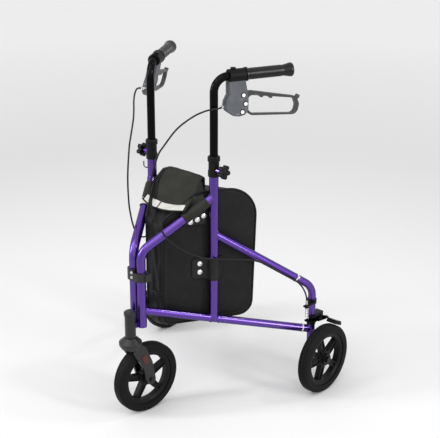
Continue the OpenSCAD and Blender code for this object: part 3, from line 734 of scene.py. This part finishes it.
def pale_tape():
    f = Finish("Pale tape", "tape", Roughness=0.42)
    f.mottle(f.effect(vinyl_grain)["Scuff"], 0.0, 1.0, share=0.5, amount=0.66)
    ribs = f.effect(woven_ribs)
    f.rough(ribs["Height"], 0.34, 0.55)
    f.bump(ribs["Height"], 0.00015)
    return f


def sewing_thread():
    f = Finish("Sewing thread", (0.045, 0.045, 0.045), Roughness=0.7)
    ribs = f.effect(woven_ribs, Scale=2200.0)
    f.tint(ribs["Height"], (0.08, 0.08, 0.078))
    f.bump(ribs["Height"], 0.0001)
    return f


# Finishes by slot: what makes each one, and its values in that function's order
FINISHES = {
    "purple_paint": (frame_paint,),
    "black_paint": (handle_paint,),
    "black_plastic": (
        moulding, "Black moulding", "moulding", 850.0, 0.00008, 0.30, 0.46, 0.06, 0.14),
    "grey_plastic": (housing_plastic,),
    "lever_plastic": (
        moulding, "Lever plastic", "lever", 1100.0, 0.00009, 0.34, 0.48, 0.06, 0.18),
    "fork_plastic": (moulding, "Fork plastic", "fork", 700.0, 0.00008, 0.28, 0.42, 0.06, 0.34),
    "wheel_plastic": (
        moulding, "Wheel plastic", "moulding", 700.0, 0.00008, 0.32, 0.48, 0.05, 0.12),
    "tyre": (tyre_rubber,),
    "grip_rubber": (moulding, "Grip rubber", "moulding", 1300.0, 0.00005, 0.20, 0.30, 0.03, 0.30),
    "rubber_pad": (moulding, "Shoe rubber", "rubber", 500.0, 0.00018, 0.60, 0.80),
    "steel": (bright_metal, "Zinc plate", (0.46, 0.46, 0.48), 0.34, 900.0),
    "dark_steel": (bright_metal, "Blackened steel", (0.035, 0.035, 0.037), 0.36, 900.0),
    "rivet_plate": (moulding, "Rivet plate", (0.82, 0.82, 0.81), 900.0, 0.00003, 0.25, 0.35),
    "chrome": (bright_metal, "Chrome", (0.86, 0.86, 0.88), 0.10, 400.0),
    "white_plastic": (
        moulding, "White nylon", (0.74, 0.74, 0.72), 900.0, 0.00006, 0.35, 0.5, 0.1),
    "red_plastic": (moulding, "Red inlay", "inlay", 900.0, 0.00005, 0.16, 0.26, 0.1, 0.25),
    "bag_vinyl": (vinyl, "Bag vinyl", "vinyl", 0.11),
    "strap_vinyl": (vinyl, "Strap vinyl", "vinyl", 0.18),
    "flap_vinyl": (vinyl, "Flap vinyl", "flap", 0.14),
    "reflective_tape": (pale_tape,),
    "cable_sheath": (
        moulding, "Cable sheath", (0.012, 0.012, 0.013), 1400.0, 0.00006, 0.30, 0.42, 0.1),
    "thread": (sewing_thread,),
}


@cache
def finish(slot):
    """The material of a slot, made once."""
    make, *values = FINISHES[slot]
    return make(*values).material


# Operators

# Width and segments of the soft edges of moulded and machined pieces
SOFT_EDGES = {
    "brake_lever": (0.0022, 3), "brake_housing": (0.0012, 2), "housing_rivets": (0.0012, 3),
    "caster_fork": (0.0016, 3), "hinge_block": (0.0014, 3), "brake_arm": (0.0008, 2),
    "brake_bracket": (0.0010, 2), "brake_shoe": (0.0014, 3), "height_knob": (0.0010, 2),
    "collar": (0.0008, 2), "stem_housing": (0.0008, 2), "lower_bracket": (0.0008, 2),
    "rear_wheel": (0.0010, 2), "front_wheel": (0.0010, 2), "fork_inlays": (0.0006, 2),
    "axle_bolts": (0.0006, 2), "front_axle": (0.0006, 2), "hinge_fasteners": (0.0005, 2),
    "cable_adjuster": (0.0005, 2),
}

# Pieces whose finish differs from that of their slot in the record
OWN_FINISH = {
    "brake_lever": "lever_plastic", "housing_rivets": "rivet_plate",
    "caster_fork": "fork_plastic", "hinge_block": "fork_plastic",
    "stem_housing": "fork_plastic", "cable_hook": "cable_sheath",
}


def plain_name(node):
    """A node's name without its side."""
    for word, _ in SIDES:
        node = node.removesuffix("_" + word)
    return node


class ROLLATOR_OT_finishes(bpy.types.Operator):
    """Give every piece of the frame its finish and soften its moulded edges"""

    bl_idname = "rollator.finishes"
    bl_label = "Frame finishes"

    weld_gap = 2e-5
    sharp_angle = math.radians(38)

    def execute(self, context):
        slots = {s["node"]: s["material_slot"] for s in frame["record"]["subparts"]}
        for name, obj in NODES.items():
            plain = plain_name(name)
            obj.data.materials.clear()
            obj.data.materials.append(finish(OWN_FINISH.get(plain, slots[name])))
            if plain in SOFT_EDGES:
                width, segments = SOFT_EDGES[plain]
                modify(obj, "WELD", merge_threshold=self.weld_gap)
                modify(obj, "BEVEL", width=width, segments=segments, limit_method="ANGLE",
                       angle_limit=self.sharp_angle, use_clamp_overlap=True)
                modify(obj, "WEIGHTED_NORMAL", keep_sharp=False)
        return {"FINISHED"}


def islands(obj):
    """Points of each loose part of a piece."""
    work = bmesh.new()
    work.from_mesh(obj.data)
    bmesh.ops.remove_doubles(work, verts=work.verts, dist=WELD_GAP)
    left = set(work.verts)
    parts = []
    while left:
        grown = [left.pop()]
        for vert in grown:
            near = {e.other_vert(vert) for e in vert.link_edges} & left
            left -= near
            grown.extend(near)
        parts.append([v.co.copy() for v in grown])
    work.free()
    return parts


class ROLLATOR_OT_rivet_shade(bpy.types.Operator):
    """Set a dark ring of painted shade round each rivet of the lever housings, standing in for the shadow of the
    recess round each head
    """

    bl_idname = "rollator.rims"
    bl_label = "Rivet rims"

    head_r = 0.005
    head_h = 0.0022
    overlap = 0.0003
    shade_ring_w = 0.0024
    shade_ring_h = 0.0009
    steps = 32

    def execute(self, context):
        r, w, h = self.head_r, self.shade_ring_w, self.shade_ring_h
        inner = r - self.overlap
        profile = [
            (inner, 0), (inner, h * 0.7), (r + w * 0.3, h), (r + w * 0.7, h),
            (r + w, h * 0.5), (r + w, 0),
        ]
        for word, _ in SIDES:
            axis = Vector(JOINTS[f"{word}_squeeze"]["axis"]).normalized()
            shape = Shape()
            for part in islands(NODES[f"housing_rivets_{word}"]):
                middle = sum(part, Vector()) / len(part)
                for way in (axis, -axis):
                    face = max((p - middle).dot(way) for p in part) - self.head_h
                    shape.lathe(profile, turned_to(middle + way * face, way), self.steps)
            # Painted shade: these black rings stand in for the shadow in the recess round each rivet head.
            rims = piece(f"rivet_shade_rings_{word}", shape, "black_plastic")
            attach(rims, f"{word}_handle")
        return {"FINISHED"}


class ROLLATOR_OT_cables(bpy.types.Operator):
    """Draw both brake cables along their routes, with a ferrule at each stop"""

    bl_idname = "rollator.cables"
    bl_label = "Brake cables"

    steps = 8
    sides = 14
    bend_low = (0.03, 0, 0.56)
    bend_high = (0.03, 0, 0.84)
    ferrule_len = 0.013
    ferrule_r = 0.0031
    ferrule_lip = 0.0006
    ferrule_round = 0.001

    def execute(self, context):
        for word, side in SIDES:
            route = [on_side(side, *p) for p in CABLE_TOPS[word] + CABLE_ROUTE]
            path = smooth_path(route, self.steps)
            shape = Shape()
            shape.tube(path, sizes().cable_d / 2, self.sides)
            cable = piece(f"brake_cable_run_{word}", shape, "cable_sheath")
            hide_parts(f"brake_cable_{word}")
            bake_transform(cable)
            self.ferrule(word, path)
        return {"FINISHED"}

    def ferrule(self, word, path):
        """Crimped metal end on the cable above its stop."""
        along = (path[-4] - path[-1]).normalized()
        r, length, bore = self.ferrule_r, self.ferrule_len, sizes().cable_d / 2
        profile = [
            (bore, 0), (r * 0.92, 0), (r, self.ferrule_lip), (r, length * 0.4),
            (r * 0.9, length * 0.46), (r * 0.9, length * 0.6), (r, length * 0.66),
            (r, length - self.ferrule_round), (r * 0.86, length), (bore, length),
        ]
        shape = Shape()
        shape.lathe(profile, turned_to(path[-1], along))
        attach(piece(f"cable_ferrule_{word}", shape, "steel"), f"{word}_frame")


class ROLLATOR_OT_springs(bpy.types.Operator):
    """Wind each brake's return spring round its bare wire"""

    bl_idname = "rollator.springs"
    bl_label = "Return springs"

    turns = 8
    steps = 28
    coil_r = 0.0046
    coil_wire_r = 0.0007
    coil_sides = 8
    wire_r = 0.0008
    wire_sides = 10
    coil_above_wire = 0.0008
    coil_below_wire = 0.0095

    def execute(self, context):
        for word, side in SIDES:
            low, high = (Vector(p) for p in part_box(f"brake_spring_{word}"))
            middle = ((low + high) / 2).xy
            foot = Vector((*middle, low.z + self.coil_above_wire))
            head = Vector((*middle, high.z - self.coil_below_wire))
            coil = [self.coil(foot, head, side, k) for k in range(self.turns * self.steps + 1)]
            wire = [Vector((*middle, z)) for z in spread(low.z, high.z, self.steps)]
            shape = Shape()
            shape.tube(coil, self.coil_wire_r, self.coil_sides)
            shape.tube(wire, self.wire_r, self.wire_sides)
            spring = piece(f"return_spring_{word}", shape, "chrome")
            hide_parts(f"brake_spring_{word}")
            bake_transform(spring)
        return {"FINISHED"}

    def coil(self, foot, head, side, k):
        """Point of the spring's coil, counted from its foot."""
        turn = math.tau * k / self.steps
        at = foot.lerp(head, k / (self.turns * self.steps))
        return at + Vector((side * self.coil_r * math.cos(turn), self.coil_r * math.sin(turn), 0))


def weld_line(branch, inner, main, outer, toward, count):
    """Line where a branch tube meets a main tube, both in one frame's plane."""
    along = (branch[1] - branch[0]).normalized()
    up = Vector((-along.y, along.x))
    axis = (main[1] - main[0]).normalized()
    across = Vector((-axis.y, axis.x))
    line = []
    for k in range(count):
        turn = math.tau * k / count
        out = inner * math.cos(turn)
        flat = branch[0] + up * (inner * math.sin(turn))
        reach = math.sqrt(max(outer * outer - out * out, 1e-10)) * toward
        travel = (reach - (flat - main[0]).dot(across)) / along.dot(across)
        at = flat + along * travel
        line.append((at.x, out, at.y))
    return line


class ROLLATOR_OT_welds(bpy.types.Operator):
    """Run a rippled weld bead round each joint of the frame tubes"""

    bl_idname = "rollator.welds"
    bl_label = "Weld beads"

    points = 48
    spacing = 0.0012
    sides = 8
    ripples = 16
    ripple_h = 0.16

    def execute(self, context):
        for word, side in SIDES:
            shape = Shape()
            for weld in WELDS:
                line = [on_side(side, *p) for p in weld_line(*weld, self.points)]
                path = even_path(line, self.spacing, closed=True)
                shape.tube(path, self.bead, self.sides, closed=True)
            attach(piece(f"weld_beads_{word}", shape, "purple_paint"), f"{word}_frame")
        return {"FINISHED"}

    def bead(self, share):
        return sizes().bead_r * (1 + self.ripple_h * math.sin(math.tau * self.ripples * share))


def panel_point(side, back, up, out=0.0):
    """Point on the plane of a bag's side panel."""
    return on_side(side, back, out - BAG_INSET, up)


def panel_swell(at, ring):
    """Soft swell of a side panel and the small dents in it."""
    uneven = dents((at.x * 13, at.y * 9, 1.7), (at.x * 31, at.y * 24, 5.1))
    return (1 - ring ** 3) * (sizes().panel_crown + PANEL_DENT * uneven)


def gusset_point(near, u, down):
    """Point across the gusset from one panel's edge to the other, folded in at the back."""
    fold = max(0.0, near.y - HINGE.y - FOLD_LINE)
    slack = 1 - u * u
    uneven = noise.noise(Vector((near.x * 8, near.z * 14, u * 3)))
    y = near.y - fold * (1 - abs(u)) + GUSSET_CREASE * slack * uneven
    z = near.z - down * slack * (GUSSET_SAG[0] + GUSSET_SAG[1] * uneven)
    return Vector((near.x * u, y, z))


def flatten(obj):
    """Hangs a piece of the bag on the front bracket, with a mesh of its own."""
    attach(obj, "front_bracket")
    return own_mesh(obj)


class ROLLATOR_OT_bag(bpy.types.Operator):
    """Sew the bag: two side panels, the folded gusset between them, piping and stitches"""

    bl_idname = "rollator.bag"
    bl_label = "Bag"

    gusset_columns = 24
    bottom_z = 0.35
    top_reach = 0.190
    top_sink = 1.7
    piping_out = 0.0006
    piping_sides = 8
    seam_inset = 0.0075
    seam_ring = 0.965
    stitch_pitch = 1.45
    stitch_lift = (0.0004, 0.0011, 0.0004)
    thread_r = 0.00038
    thread_sides = 5

    def execute(self, context):
        outline = rounded_outline(PANEL_CORNERS, PANEL_STEP)
        middle = sum(outline, Vector((0, 0))) / len(outline)
        body, piping, thread = Shape(), Shape(), Shape()
        for _, side in SIDES:
            self.panel(body, side, outline, middle)
            edge = [panel_point(side, p.x, p.y, self.piping_out) for p in outline]
            piping.tube(edge, sizes().piping_r, self.piping_sides, closed=True)
            self.stitches(thread, side, outline, middle)
        self.gusset(body, outline)
        made = piece("bag_body", body, "bag_vinyl")
        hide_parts("bag")
        flatten(made)
        flatten(piece("bag_piping", piping, "bag_vinyl"))
        flatten(piece("bag_stitches", thread, "thread"))
        return {"FINISHED"}

    def panel(self, body, side, outline, middle):
        """Rings of a side panel, drawn in towards a point at its middle."""
        rows = []
        for ring in PANEL_RINGS:
            at = [middle + (p - middle) * ring for p in outline]
            rows.append([panel_point(side, p.x, p.y, panel_swell(p, ring)) for p in at])
        body.grid(rows, around=True)
        count = len(outline)
        tip = len(body.points)
        body.add([panel_point(side, *middle, panel_swell(middle, 0.0))], [])
        first = tip - count
        body.faces.extend([(first + k, first + (k + 1) % count, tip) for k in range(count)])

    def gusset(self, body, outline):
        count = len(outline)
        downs = []
        for i, p in enumerate(outline):
            along = outline[(i + 1) % count] - outline[i - 1]
            under = max(0.0, -along.x / along.length)
            downs.append(under if p.y < self.bottom_z else self.top_sink * (p.x < self.top_reach))
        near = [panel_point(1, p.x, p.y) for p in outline]
        body.grid([
            [gusset_point(p, u, down) for p, down in zip(near, downs)]
            for u in spread(1, -1, self.gusset_columns)
        ], around=True)

    def stitches(self, thread, side, outline, middle):
        """Short raised stitches beside the piping."""
        length = sizes().stitch
        inside = [p + (middle - p).normalized() * self.seam_inset for p in outline]
        seam = even_path(inside, length * self.stitch_pitch, closed=True)
        count = len(seam)
        for i, p in enumerate(seam):
            along = (seam[(i + 1) % count] - seam[i - 1]).normalized() * length / 2
            run = [
                panel_point(side, q.x, q.y, panel_swell(q, self.seam_ring) + lift)
                for q, lift in zip((p - along, p, p + along), self.stitch_lift)
            ]
            thread.tube(run, self.thread_r, self.thread_sides)


def crease(v):
    """Place across the flap of its crease, which runs from the back corner to the front edge."""
    return FLAP_CREASE[0] + (FLAP_CREASE[1] - FLAP_CREASE[0]) * v ** CREASE_POWER


def flap_point(u, v, lift=0.0):
    """Point of the flap: u across, v from the back fold to the front edge."""
    slack = 1 - u * u
    back = Vector((0, *FLAP_BACK))
    front = Vector((0, *FLAP_FRONT)) + Vector(FLAP_LIP) * slack
    along = (front - back).normalized()
    normal = Vector((0, along.z, -along.y))
    uneven = dents((u * 2.2, v * 2.6, 3.3), (u * 5, v * 6, 8.1))
    sag = FLAP_SAG * slack * math.sin(math.pi * v) + FLAP_DENT * uneven * slack
    drop = FLAP_DROP * max(0.0, (abs(u) - FLAP_SHOULDER) / (1 - FLAP_SHOULDER)) ** 2
    beyond = min(1.0, max(0.0, (crease(v) - u) / (crease(v) + 1)))
    valley = FLAP_VALLEY * math.sin(math.pi * beyond) ** VALLEY_POWER * v
    p = back.lerp(front, v) + normal * (sag + drop + valley + lift)
    half = FLAP_HALF[0] + (FLAP_HALF[1] - FLAP_HALF[0]) * v
    return Vector((u * half, p.y + HINGE.y, p.z))


class ROLLATOR_OT_flap(bpy.types.Operator):
    """Lay the flap over the bag, with its rolled back edge, front piping and pale tape, and its far side beyond
    the crease painted darker as shade
    """

    bl_idname = "rollator.flap"
    bl_label = "Flap"

    columns = 36
    rows = 22
    roll_r = 0.0065
    roll_rows = 6
    roll_ease = 1.35
    roll_probe = 0.05
    hem = 0.034
    hem_rows = 3
    tape_runs = ((0.93, -0.11), (-0.17, -0.92))
    tape_grid = (24, 6)
    tape_inset = 0.002
    tape_lift = 0.0024
    tape_t = 0.0016
    tape_round = 0.0004
    piping_gap = 0.13
    piping_edge = -0.99
    piping_steps = 40
    piping_fold = slice(0, 34)
    piping_beside = slice(14, 34)
    piping_sizes = (0.8, 1.1, 1.0)
    piping_sides = 8

    def execute(self, context):
        shares = spread(0.0, 1.0, self.rows)
        front = [self.across(v, 1.0, crease(v)) for v in shares[1:]]
        self.sheet("bag_flap", self.back_rows() + front, "flap_vinyl")
        # Painted shade: the flap beyond its crease takes the darker bag vinyl, standing in for the shade on that
        # part of the one flap.
        self.sheet("flap_shaded_side", [self.across(v, crease(v), -1.0) for v in shares], "bag_vinyl")
        self.tape()
        self.piping()
        return {"FINISHED"}

    def across(self, v, start, end):
        return [flap_point(u, v) for u in spread(start, end, self.columns)]

    def back_rows(self):
        """The hem that hangs behind the bag, and the roll over its back edge."""
        places = spread(1, crease(0.0), self.columns)
        roll = [
            [self.rolled(u, math.pi * share) for u in places]
            for share in spread(1, 0, self.roll_rows)
        ]
        hangs = [self.hem * (self.hem_rows - j) / self.hem_rows for j in range(self.hem_rows)]
        return [[p - Vector((0, 0, hang)) for p in roll[0]] for hang in hangs] + roll

    def rolled(self, u, turn):
        """Back edge of the flap, rolled over to its hem."""
        top = flap_point(u, 0.0)
        ahead = (flap_point(u, self.roll_probe) - top).normalized()
        up = Vector((0, -ahead.z, ahead.y))
        up = up if up.z > 0 else -up
        turn = turn / self.roll_ease
        return top - up * self.roll_r + self.roll_r * (math.cos(turn) * up - math.sin(turn) * ahead)

    def sheet(self, name, rows, look):
        made = sewn(name, rows, look, -1.0)
        flatten(made)

    def tape(self):
        length = (Vector(FLAP_BACK) - Vector(FLAP_FRONT)).length
        high = 1 - (sizes().tape_w + self.tape_inset) / length
        low = 1 - self.tape_inset / length
        columns, rows = self.tape_grid
        shape = Shape()
        for start, end in self.tape_runs:
            shape.grid([
                [flap_point(u, v, self.tape_lift) for u in spread(start, end, columns)]
                for v in spread(high, low, rows)
            ])
        tape = piece("flap_tape", shape, "reflective_tape")
        modify(tape, "SOLIDIFY", thickness=self.tape_t, offset=-1.0)
        modify(tape, "BEVEL", width=self.tape_round, segments=2)
        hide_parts("bag_tape")
        flatten(settle(tape))

    def piping(self):
        """Cord along the front edge and the crease, and a shorter one beside the crease."""
        shares = spread(0.0, 1.0, self.piping_steps)
        edge = [flap_point(u, 1.0) for u in spread(1, -1, self.piping_steps)]
        fold = [flap_point(crease(v), v) for v in shares[self.piping_fold]]
        beside = [
            flap_point(max(self.piping_edge, crease(v) - self.piping_gap), v)
            for v in shares[self.piping_beside]
        ]
        shape = Shape()
        for path, share in zip((edge, fold, beside), self.piping_sizes):
            shape.tube(path, sizes().piping_r * share, self.piping_sides)
        flatten(piece("flap_piping", shape, "black_plastic"))


def wing_rows(side, lift=0.0):
    """Rows across a wing: from the flap's edge over the diagonal tube and down its tab."""
    low, high = DIAGONAL
    along = (high - low).normalized()
    up = Vector((-along.y, along.x))
    r = TUBE_R + WING_GAP + lift
    rows = []
    for share in spread(0.0, 1.0, WING_ROWS):
        centre = low + along * ((WING_FROM + (WING_TO - WING_FROM) * share) / along.x)

        def round_tube(angle):
            p = centre + up * (r * math.sin(math.radians(angle)))
            return on_side(side, p.x, r * math.cos(math.radians(angle)), p.y)

        v = 1.0 - WING_SPAN * share
        back, out, height = Vector(TAB_FROM).lerp(Vector(TAB_TO), share)
        tab = on_side(side, back, out + lift, height)
        inside = on_side(side, centre.x, out + lift, round_tube(WING_HANG).z - WING_DROP)
        keys = [flap_point(side * WING_SEAM, v, lift), flap_point(side, v, lift)]
        keys.extend(round_tube(angle) for angle in WING_TURN)
        keys.extend([inside, inside.lerp(tab, 0.5), tab])
        rows.append(smooth_path(keys, WING_STEPS)[WING_STEPS:])
    return rows


class ROLLATOR_OT_straps(bpy.types.Operator):
    """Wrap the flap's wings and the bag's straps round the tubes, with their snaps"""

    bl_idname = "rollator.straps"
    bl_label = "Straps and snaps"

    wing_start = 3
    link_columns = 7
    link_lift = 0.0004
    tape_rows = 6
    tape_columns = slice(2, 18)
    tape_lift = 0.0022
    tape_t = 0.0012
    binding_r = 0.0014
    binding_proud = 0.6
    binding_sides = 8

    # Upright's strap, from the upright's axis: its tail, the turn round the tube and the tab
    strap_z = 0.4075
    strap_half = 0.0315
    strap_gap = 0.0014
    strap_tail = ((0.030, -0.0150), (0.018, -0.0085))
    strap_turn = range(-8, 190, 12)
    strap_front = (-0.019, -0.0085)
    strap_tab = ((-0.024, -0.0120), (-0.060, -0.0128))
    strap_columns = 10
    tab_rows = 8
    tab_steps = 6
    tab_round = (0.012, 0.010)

    # Snaps: places on the upright's strap and on the wing's tab, and the cap's profile
    strap_snaps = ((-0.0365, 0.3975), (-0.0365, 0.4225))
    strap_snap_out = -0.0105
    tab_snaps = ((0.141, 0.5475), (0.160, 0.5525), (0.178, 0.562))
    tab_snap_out = -0.0078
    snap_profile = (
        (1.0, -0.0005), (1.0, 0.0006), (0.93, 0.0012), (0.80, 0.0014), (0.74, 0.0011),
        (0.66, 0.0016), (0.48, 0.0026), (0.26, 0.0032), (0.0, 0.0034),
    )
    snap_steps = 28

    def execute(self, context):
        for word, side in SIDES:
            rows = [row[self.wing_start:] for row in wing_rows(side)]
            wing = self.sheet(f"flap_wing_{word}", rows, "flap_vinyl", f"front_tube_{word}")
            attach(wing, f"{word}_frame")
            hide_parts(f"bag_straps_{word}")
            edges = [[row[-1] for row in rows]]
            rows = [row[:self.link_columns] for row in wing_rows(side, self.link_lift)]
            flatten(self.sheet(f"flap_link_{word}", rows, "flap_vinyl", f"flap_wing_{word}"))
            rows = self.strap_rows(side)
            strap = self.sheet(f"upright_strap_{word}", rows, "strap_vinyl", f"upright_{word}")
            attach(strap, f"{word}_frame")
            tab = rows[-self.tab_rows:]
            round_tab = [row[0] for row in tab] + tab[-1][1:-1] + [row[-1] for row in reversed(tab)]
            self.binding(word, side, edges + [round_tab])
            self.snaps(word, side)
        self.tape("right", -1)
        return {"FINISHED"}

    def sheet(self, name, rows, look, carrier):
        made = sewn(name, rows, look, 0.0)
        return made

    def tape(self, word, side):
        """The pale tape goes on over the right tube, as in the photograph."""
        rows = wing_rows(side, self.tape_lift)[:self.tape_rows]
        shape = Shape()
        shape.grid([row[self.tape_columns] for row in rows])
        tape = piece(f"wing_tape_{word}", shape, "reflective_tape")
        modify(tape, "SOLIDIFY", thickness=self.tape_t, offset=0.0)
        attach(settle(tape), f"{word}_frame")

    def binding(self, word, side, edges):
        """Dark cord that binds the free edges of the tabs."""
        proud = outward(side) * self.binding_r * self.binding_proud
        shape = Shape()
        for edge in edges:
            shape.tube([p + proud for p in edge], self.binding_r, self.binding_sides)
        made = piece(f"tab_binding_{word}", shape, "black_plastic")
        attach(made, f"{word}_frame")

    def strap_rows(self, side):
        """Band round the outside of the upright, with a rounded tab in front of it."""
        axis = Vector((UPRIGHT_BACK, 0))
        r = TUBE_R + self.strap_gap
        line = [axis + Vector(p) for p in self.strap_tail]
        for turn in map(math.radians, self.strap_turn):
            line.append(axis + Vector((r * math.cos(turn), r * math.sin(turn))))
        line.append(axis + Vector(self.strap_front))
        start, end = (axis + Vector(p) for p in self.strap_tab)
        line.extend(start.lerp(end, share) for share in spread(0.0, 1.0, self.tab_steps))
        reach, cut = self.tab_round
        rows = []
        for p in line:
            near_end = max(0.0, 1 - (p.x - end.x) / reach)
            half = self.strap_half - cut * (1 - math.sqrt(max(0.0, 1 - near_end ** 2)))
            heights = [self.strap_z + half * s for s in spread(-1, 1, self.strap_columns)]
            rows.append([on_side(side, p.x, p.y, z) for z in heights])
        return rows

    def snaps(self, word, side):
        spots = [
            on_side(side, UPRIGHT_BACK + back, self.strap_snap_out, up)
            for back, up in self.strap_snaps
        ]
        spots += [on_side(side, back, self.tab_snap_out, up) for back, up in self.tab_snaps]
        profile = [(sizes().snap_r * share, h) for share, h in self.snap_profile]
        shape = Shape()
        for spot in spots:
            shape.lathe(profile, turned_to(spot, outward(side)), self.snap_steps)
        made = piece(f"snap_caps_{word}", shape, "chrome")
        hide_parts(f"bag_snaps_{word}")
        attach(made, f"{word}_frame")


class ROLLATOR_OT_stage(bpy.types.Operator):
    """Set the pale floor, the soft studio lights and the camera"""

    bl_idname = "rollator.stage"
    bl_label = "Stage"

    floor_size = 60.0
    # Painted light on the floor: the distances over which it changes, and the tone it goes to
    painted_floor_light = ((0.7, 2.2, 0.90), (2.4, 5.0, 1.045))
    seen_backdrop = 0.86
    skies = (
        ("broad_light", (0.1, -2.1, 3.0), 55, 0.66), ("small_light", (-1.2, -2.3, 3.0), 9, 0.16),
        ("fill_light", (2.0, -1.4, 1.5), 60, 0.30), ("rear_light", (1.5, 1.7, 3.0), 5, 0.14),
    )
    strips = (("left_light", (-2.0, -2.6, 1.6), 1.0), ("right_light", (3.0, 0.4, 1.5), 0.7))
    strip_size = (0.5, 1.8)
    strip_spread = math.radians(70)
    strip_aim = (0, 0, 0.5)
    sensor = 36.0
    clip_end = 100.0

    def execute(self, context):
        self.floor(context)
        self.world(context)
        stage = context.scene.rollator_stage
        for name, place, angle, share in self.skies:
            sky = self.light(context, name, "SUN", place, (0, 0, 0), stage.top_light * share)
            sky.angle = math.radians(angle)
        for name, place, share in self.strips:
            power = stage.side_light * share
            strip = self.light(context, name, "AREA", place, self.strip_aim, power)
            strip.shape = "RECTANGLE"
            strip.size, strip.size_y = self.strip_size
            strip.spread = self.strip_spread
        self.camera(context, stage)
        context.scene.view_settings.view_transform = "Standard"
        return {"FINISHED"}

    def floor(self, context):
        """Pale floor with painted light: its tone changes a little with the distance from the object."""
        h = self.floor_size / 2
        shape = Shape()
        shape.grid([[Vector((x, y, 0)) for x in (-h, h)] for y in (-h, h)])
        floor = bpy.data.objects.new("studio_floor", shape.mesh("studio_floor"))
        context.scene.collection.objects.link(floor)
        paint = Finish("Studio floor", "floor", Roughness=0.9, Specular_IOR_Level=0.1)
        grain = paint.effect(moulded_grain, Scale=60.0, Tone_scale=0.8)
        paint.mottle(grain["Tone"], 0.3, 0.7, share=0.3, amount=0.97)
        away = paint.node("VectorMath", {"operation": "LENGTH"})
        paint.feed(paint.coordinates(), away.inputs[0])
        # Painted light: darker from 0.7 to 2.2 m out and lighter past 2.4 m, standing in for the fall of the
        # studio light across the floor.
        for near, far, amount in self.painted_floor_light:
            paint.mottle(away.outputs["Value"], near, far, share=1.0, amount=amount)
        floor.data.materials.append(paint.material)

    def world(self, context):
        """Even light; the camera and reflections see the pale backdrop."""
        world = bpy.data.worlds.new("Studio")
        context.scene.world = world
        world.use_nodes = True
        backdrop = world.node_tree.nodes["Background"].inputs
        backdrop["Color"].default_value = (1.0, 1.0, 1.0, 1.0)
        n = Nodes(world.node_tree)
        path = n.node("LightPath").outputs
        seen = n.maths("ADD", path["Is Camera Ray"], path["Is Glossy Ray"])
        seen = n.maths("ADD", seen, path["Is Transmission Ray"])
        ambient = context.scene.rollator_stage.ambient
        n.feed(n.ramp(seen, 0.0, 1.0, ambient, self.seen_backdrop), backdrop["Strength"])

    def light(self, context, name, kind, place, aim, power):
        lamp = bpy.data.lights.new(name, kind)
        lamp.energy = power
        obj = bpy.data.objects.new(name, lamp)
        obj.location = place
        obj.rotation_mode = "QUATERNION"
        obj.rotation_quaternion = (Vector(aim) - Vector(place)).to_track_quat("-Z", "Y")
        context.scene.collection.objects.link(obj)
        return lamp

    def camera(self, context, stage):
        data = bpy.data.cameras.new("photo_camera")
        data.lens = stage.lens
        data.sensor_width = self.sensor
        data.sensor_fit = "HORIZONTAL"
        data.clip_end = self.clip_end
        obj = bpy.data.objects.new("photo_camera", data)
        turn = Vector(stage.facing).to_track_quat("-Z", "Y").to_matrix().to_4x4()
        roll = Matrix.Rotation(stage.roll, 4, "Z")
        obj.matrix_world = Matrix.Translation(stage.camera) @ turn @ roll
        context.scene.collection.objects.link(obj)
        context.scene.camera = obj


# Registration

OPERATORS = (
    ROLLATOR_OT_stage, ROLLATOR_OT_finishes, ROLLATOR_OT_rivet_shade, ROLLATOR_OT_cables,
    ROLLATOR_OT_springs, ROLLATOR_OT_welds, ROLLATOR_OT_bag, ROLLATOR_OT_flap, ROLLATOR_OT_straps,
)
SETTINGS = {
    "rollator_sizes": RollatorSizes, "rollator_colours": RollatorColours,
    "rollator_stage": RollatorStage,
}


class ROLLATOR_PT_panel(bpy.types.Panel):
    """Lists the steps that dress the frame"""

    bl_idname = "ROLLATOR_PT_panel"
    bl_label = "Three wheel rollator"
    bl_space_type = "VIEW_3D"
    bl_region_type = "UI"
    bl_category = "Rollator"

    def draw(self, context):
        for step in OPERATORS:
            self.layout.operator(step.bl_idname)
        for name, cls in SETTINGS.items():
            box = self.layout.box()
            for key in cls.__annotations__:
                box.prop(getattr(context.scene, name), key)


CLASSES = (*SETTINGS.values(), *OPERATORS, ROLLATOR_PT_panel)


def register():
    for cls in CLASSES:
        bpy.utils.register_class(cls)
    for name, cls in SETTINGS.items():
        setattr(bpy.types.Scene, name, PointerProperty(type=cls))


def unregister():
    for name in SETTINGS:
        delattr(bpy.types.Scene, name)
    for cls in reversed(CLASSES):
        bpy.utils.unregister_class(cls)


def main():
    register()
    bpy.ops.rollator.stage()
    bpy.ops.rollator.finishes()
    bpy.ops.rollator.rims()
    bpy.ops.rollator.cables()
    bpy.ops.rollator.springs()
    bpy.ops.rollator.welds()
    bpy.ops.rollator.bag()
    bpy.ops.rollator.flap()
    bpy.ops.rollator.straps()
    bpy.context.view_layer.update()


if __name__ == "__main__":
    main()
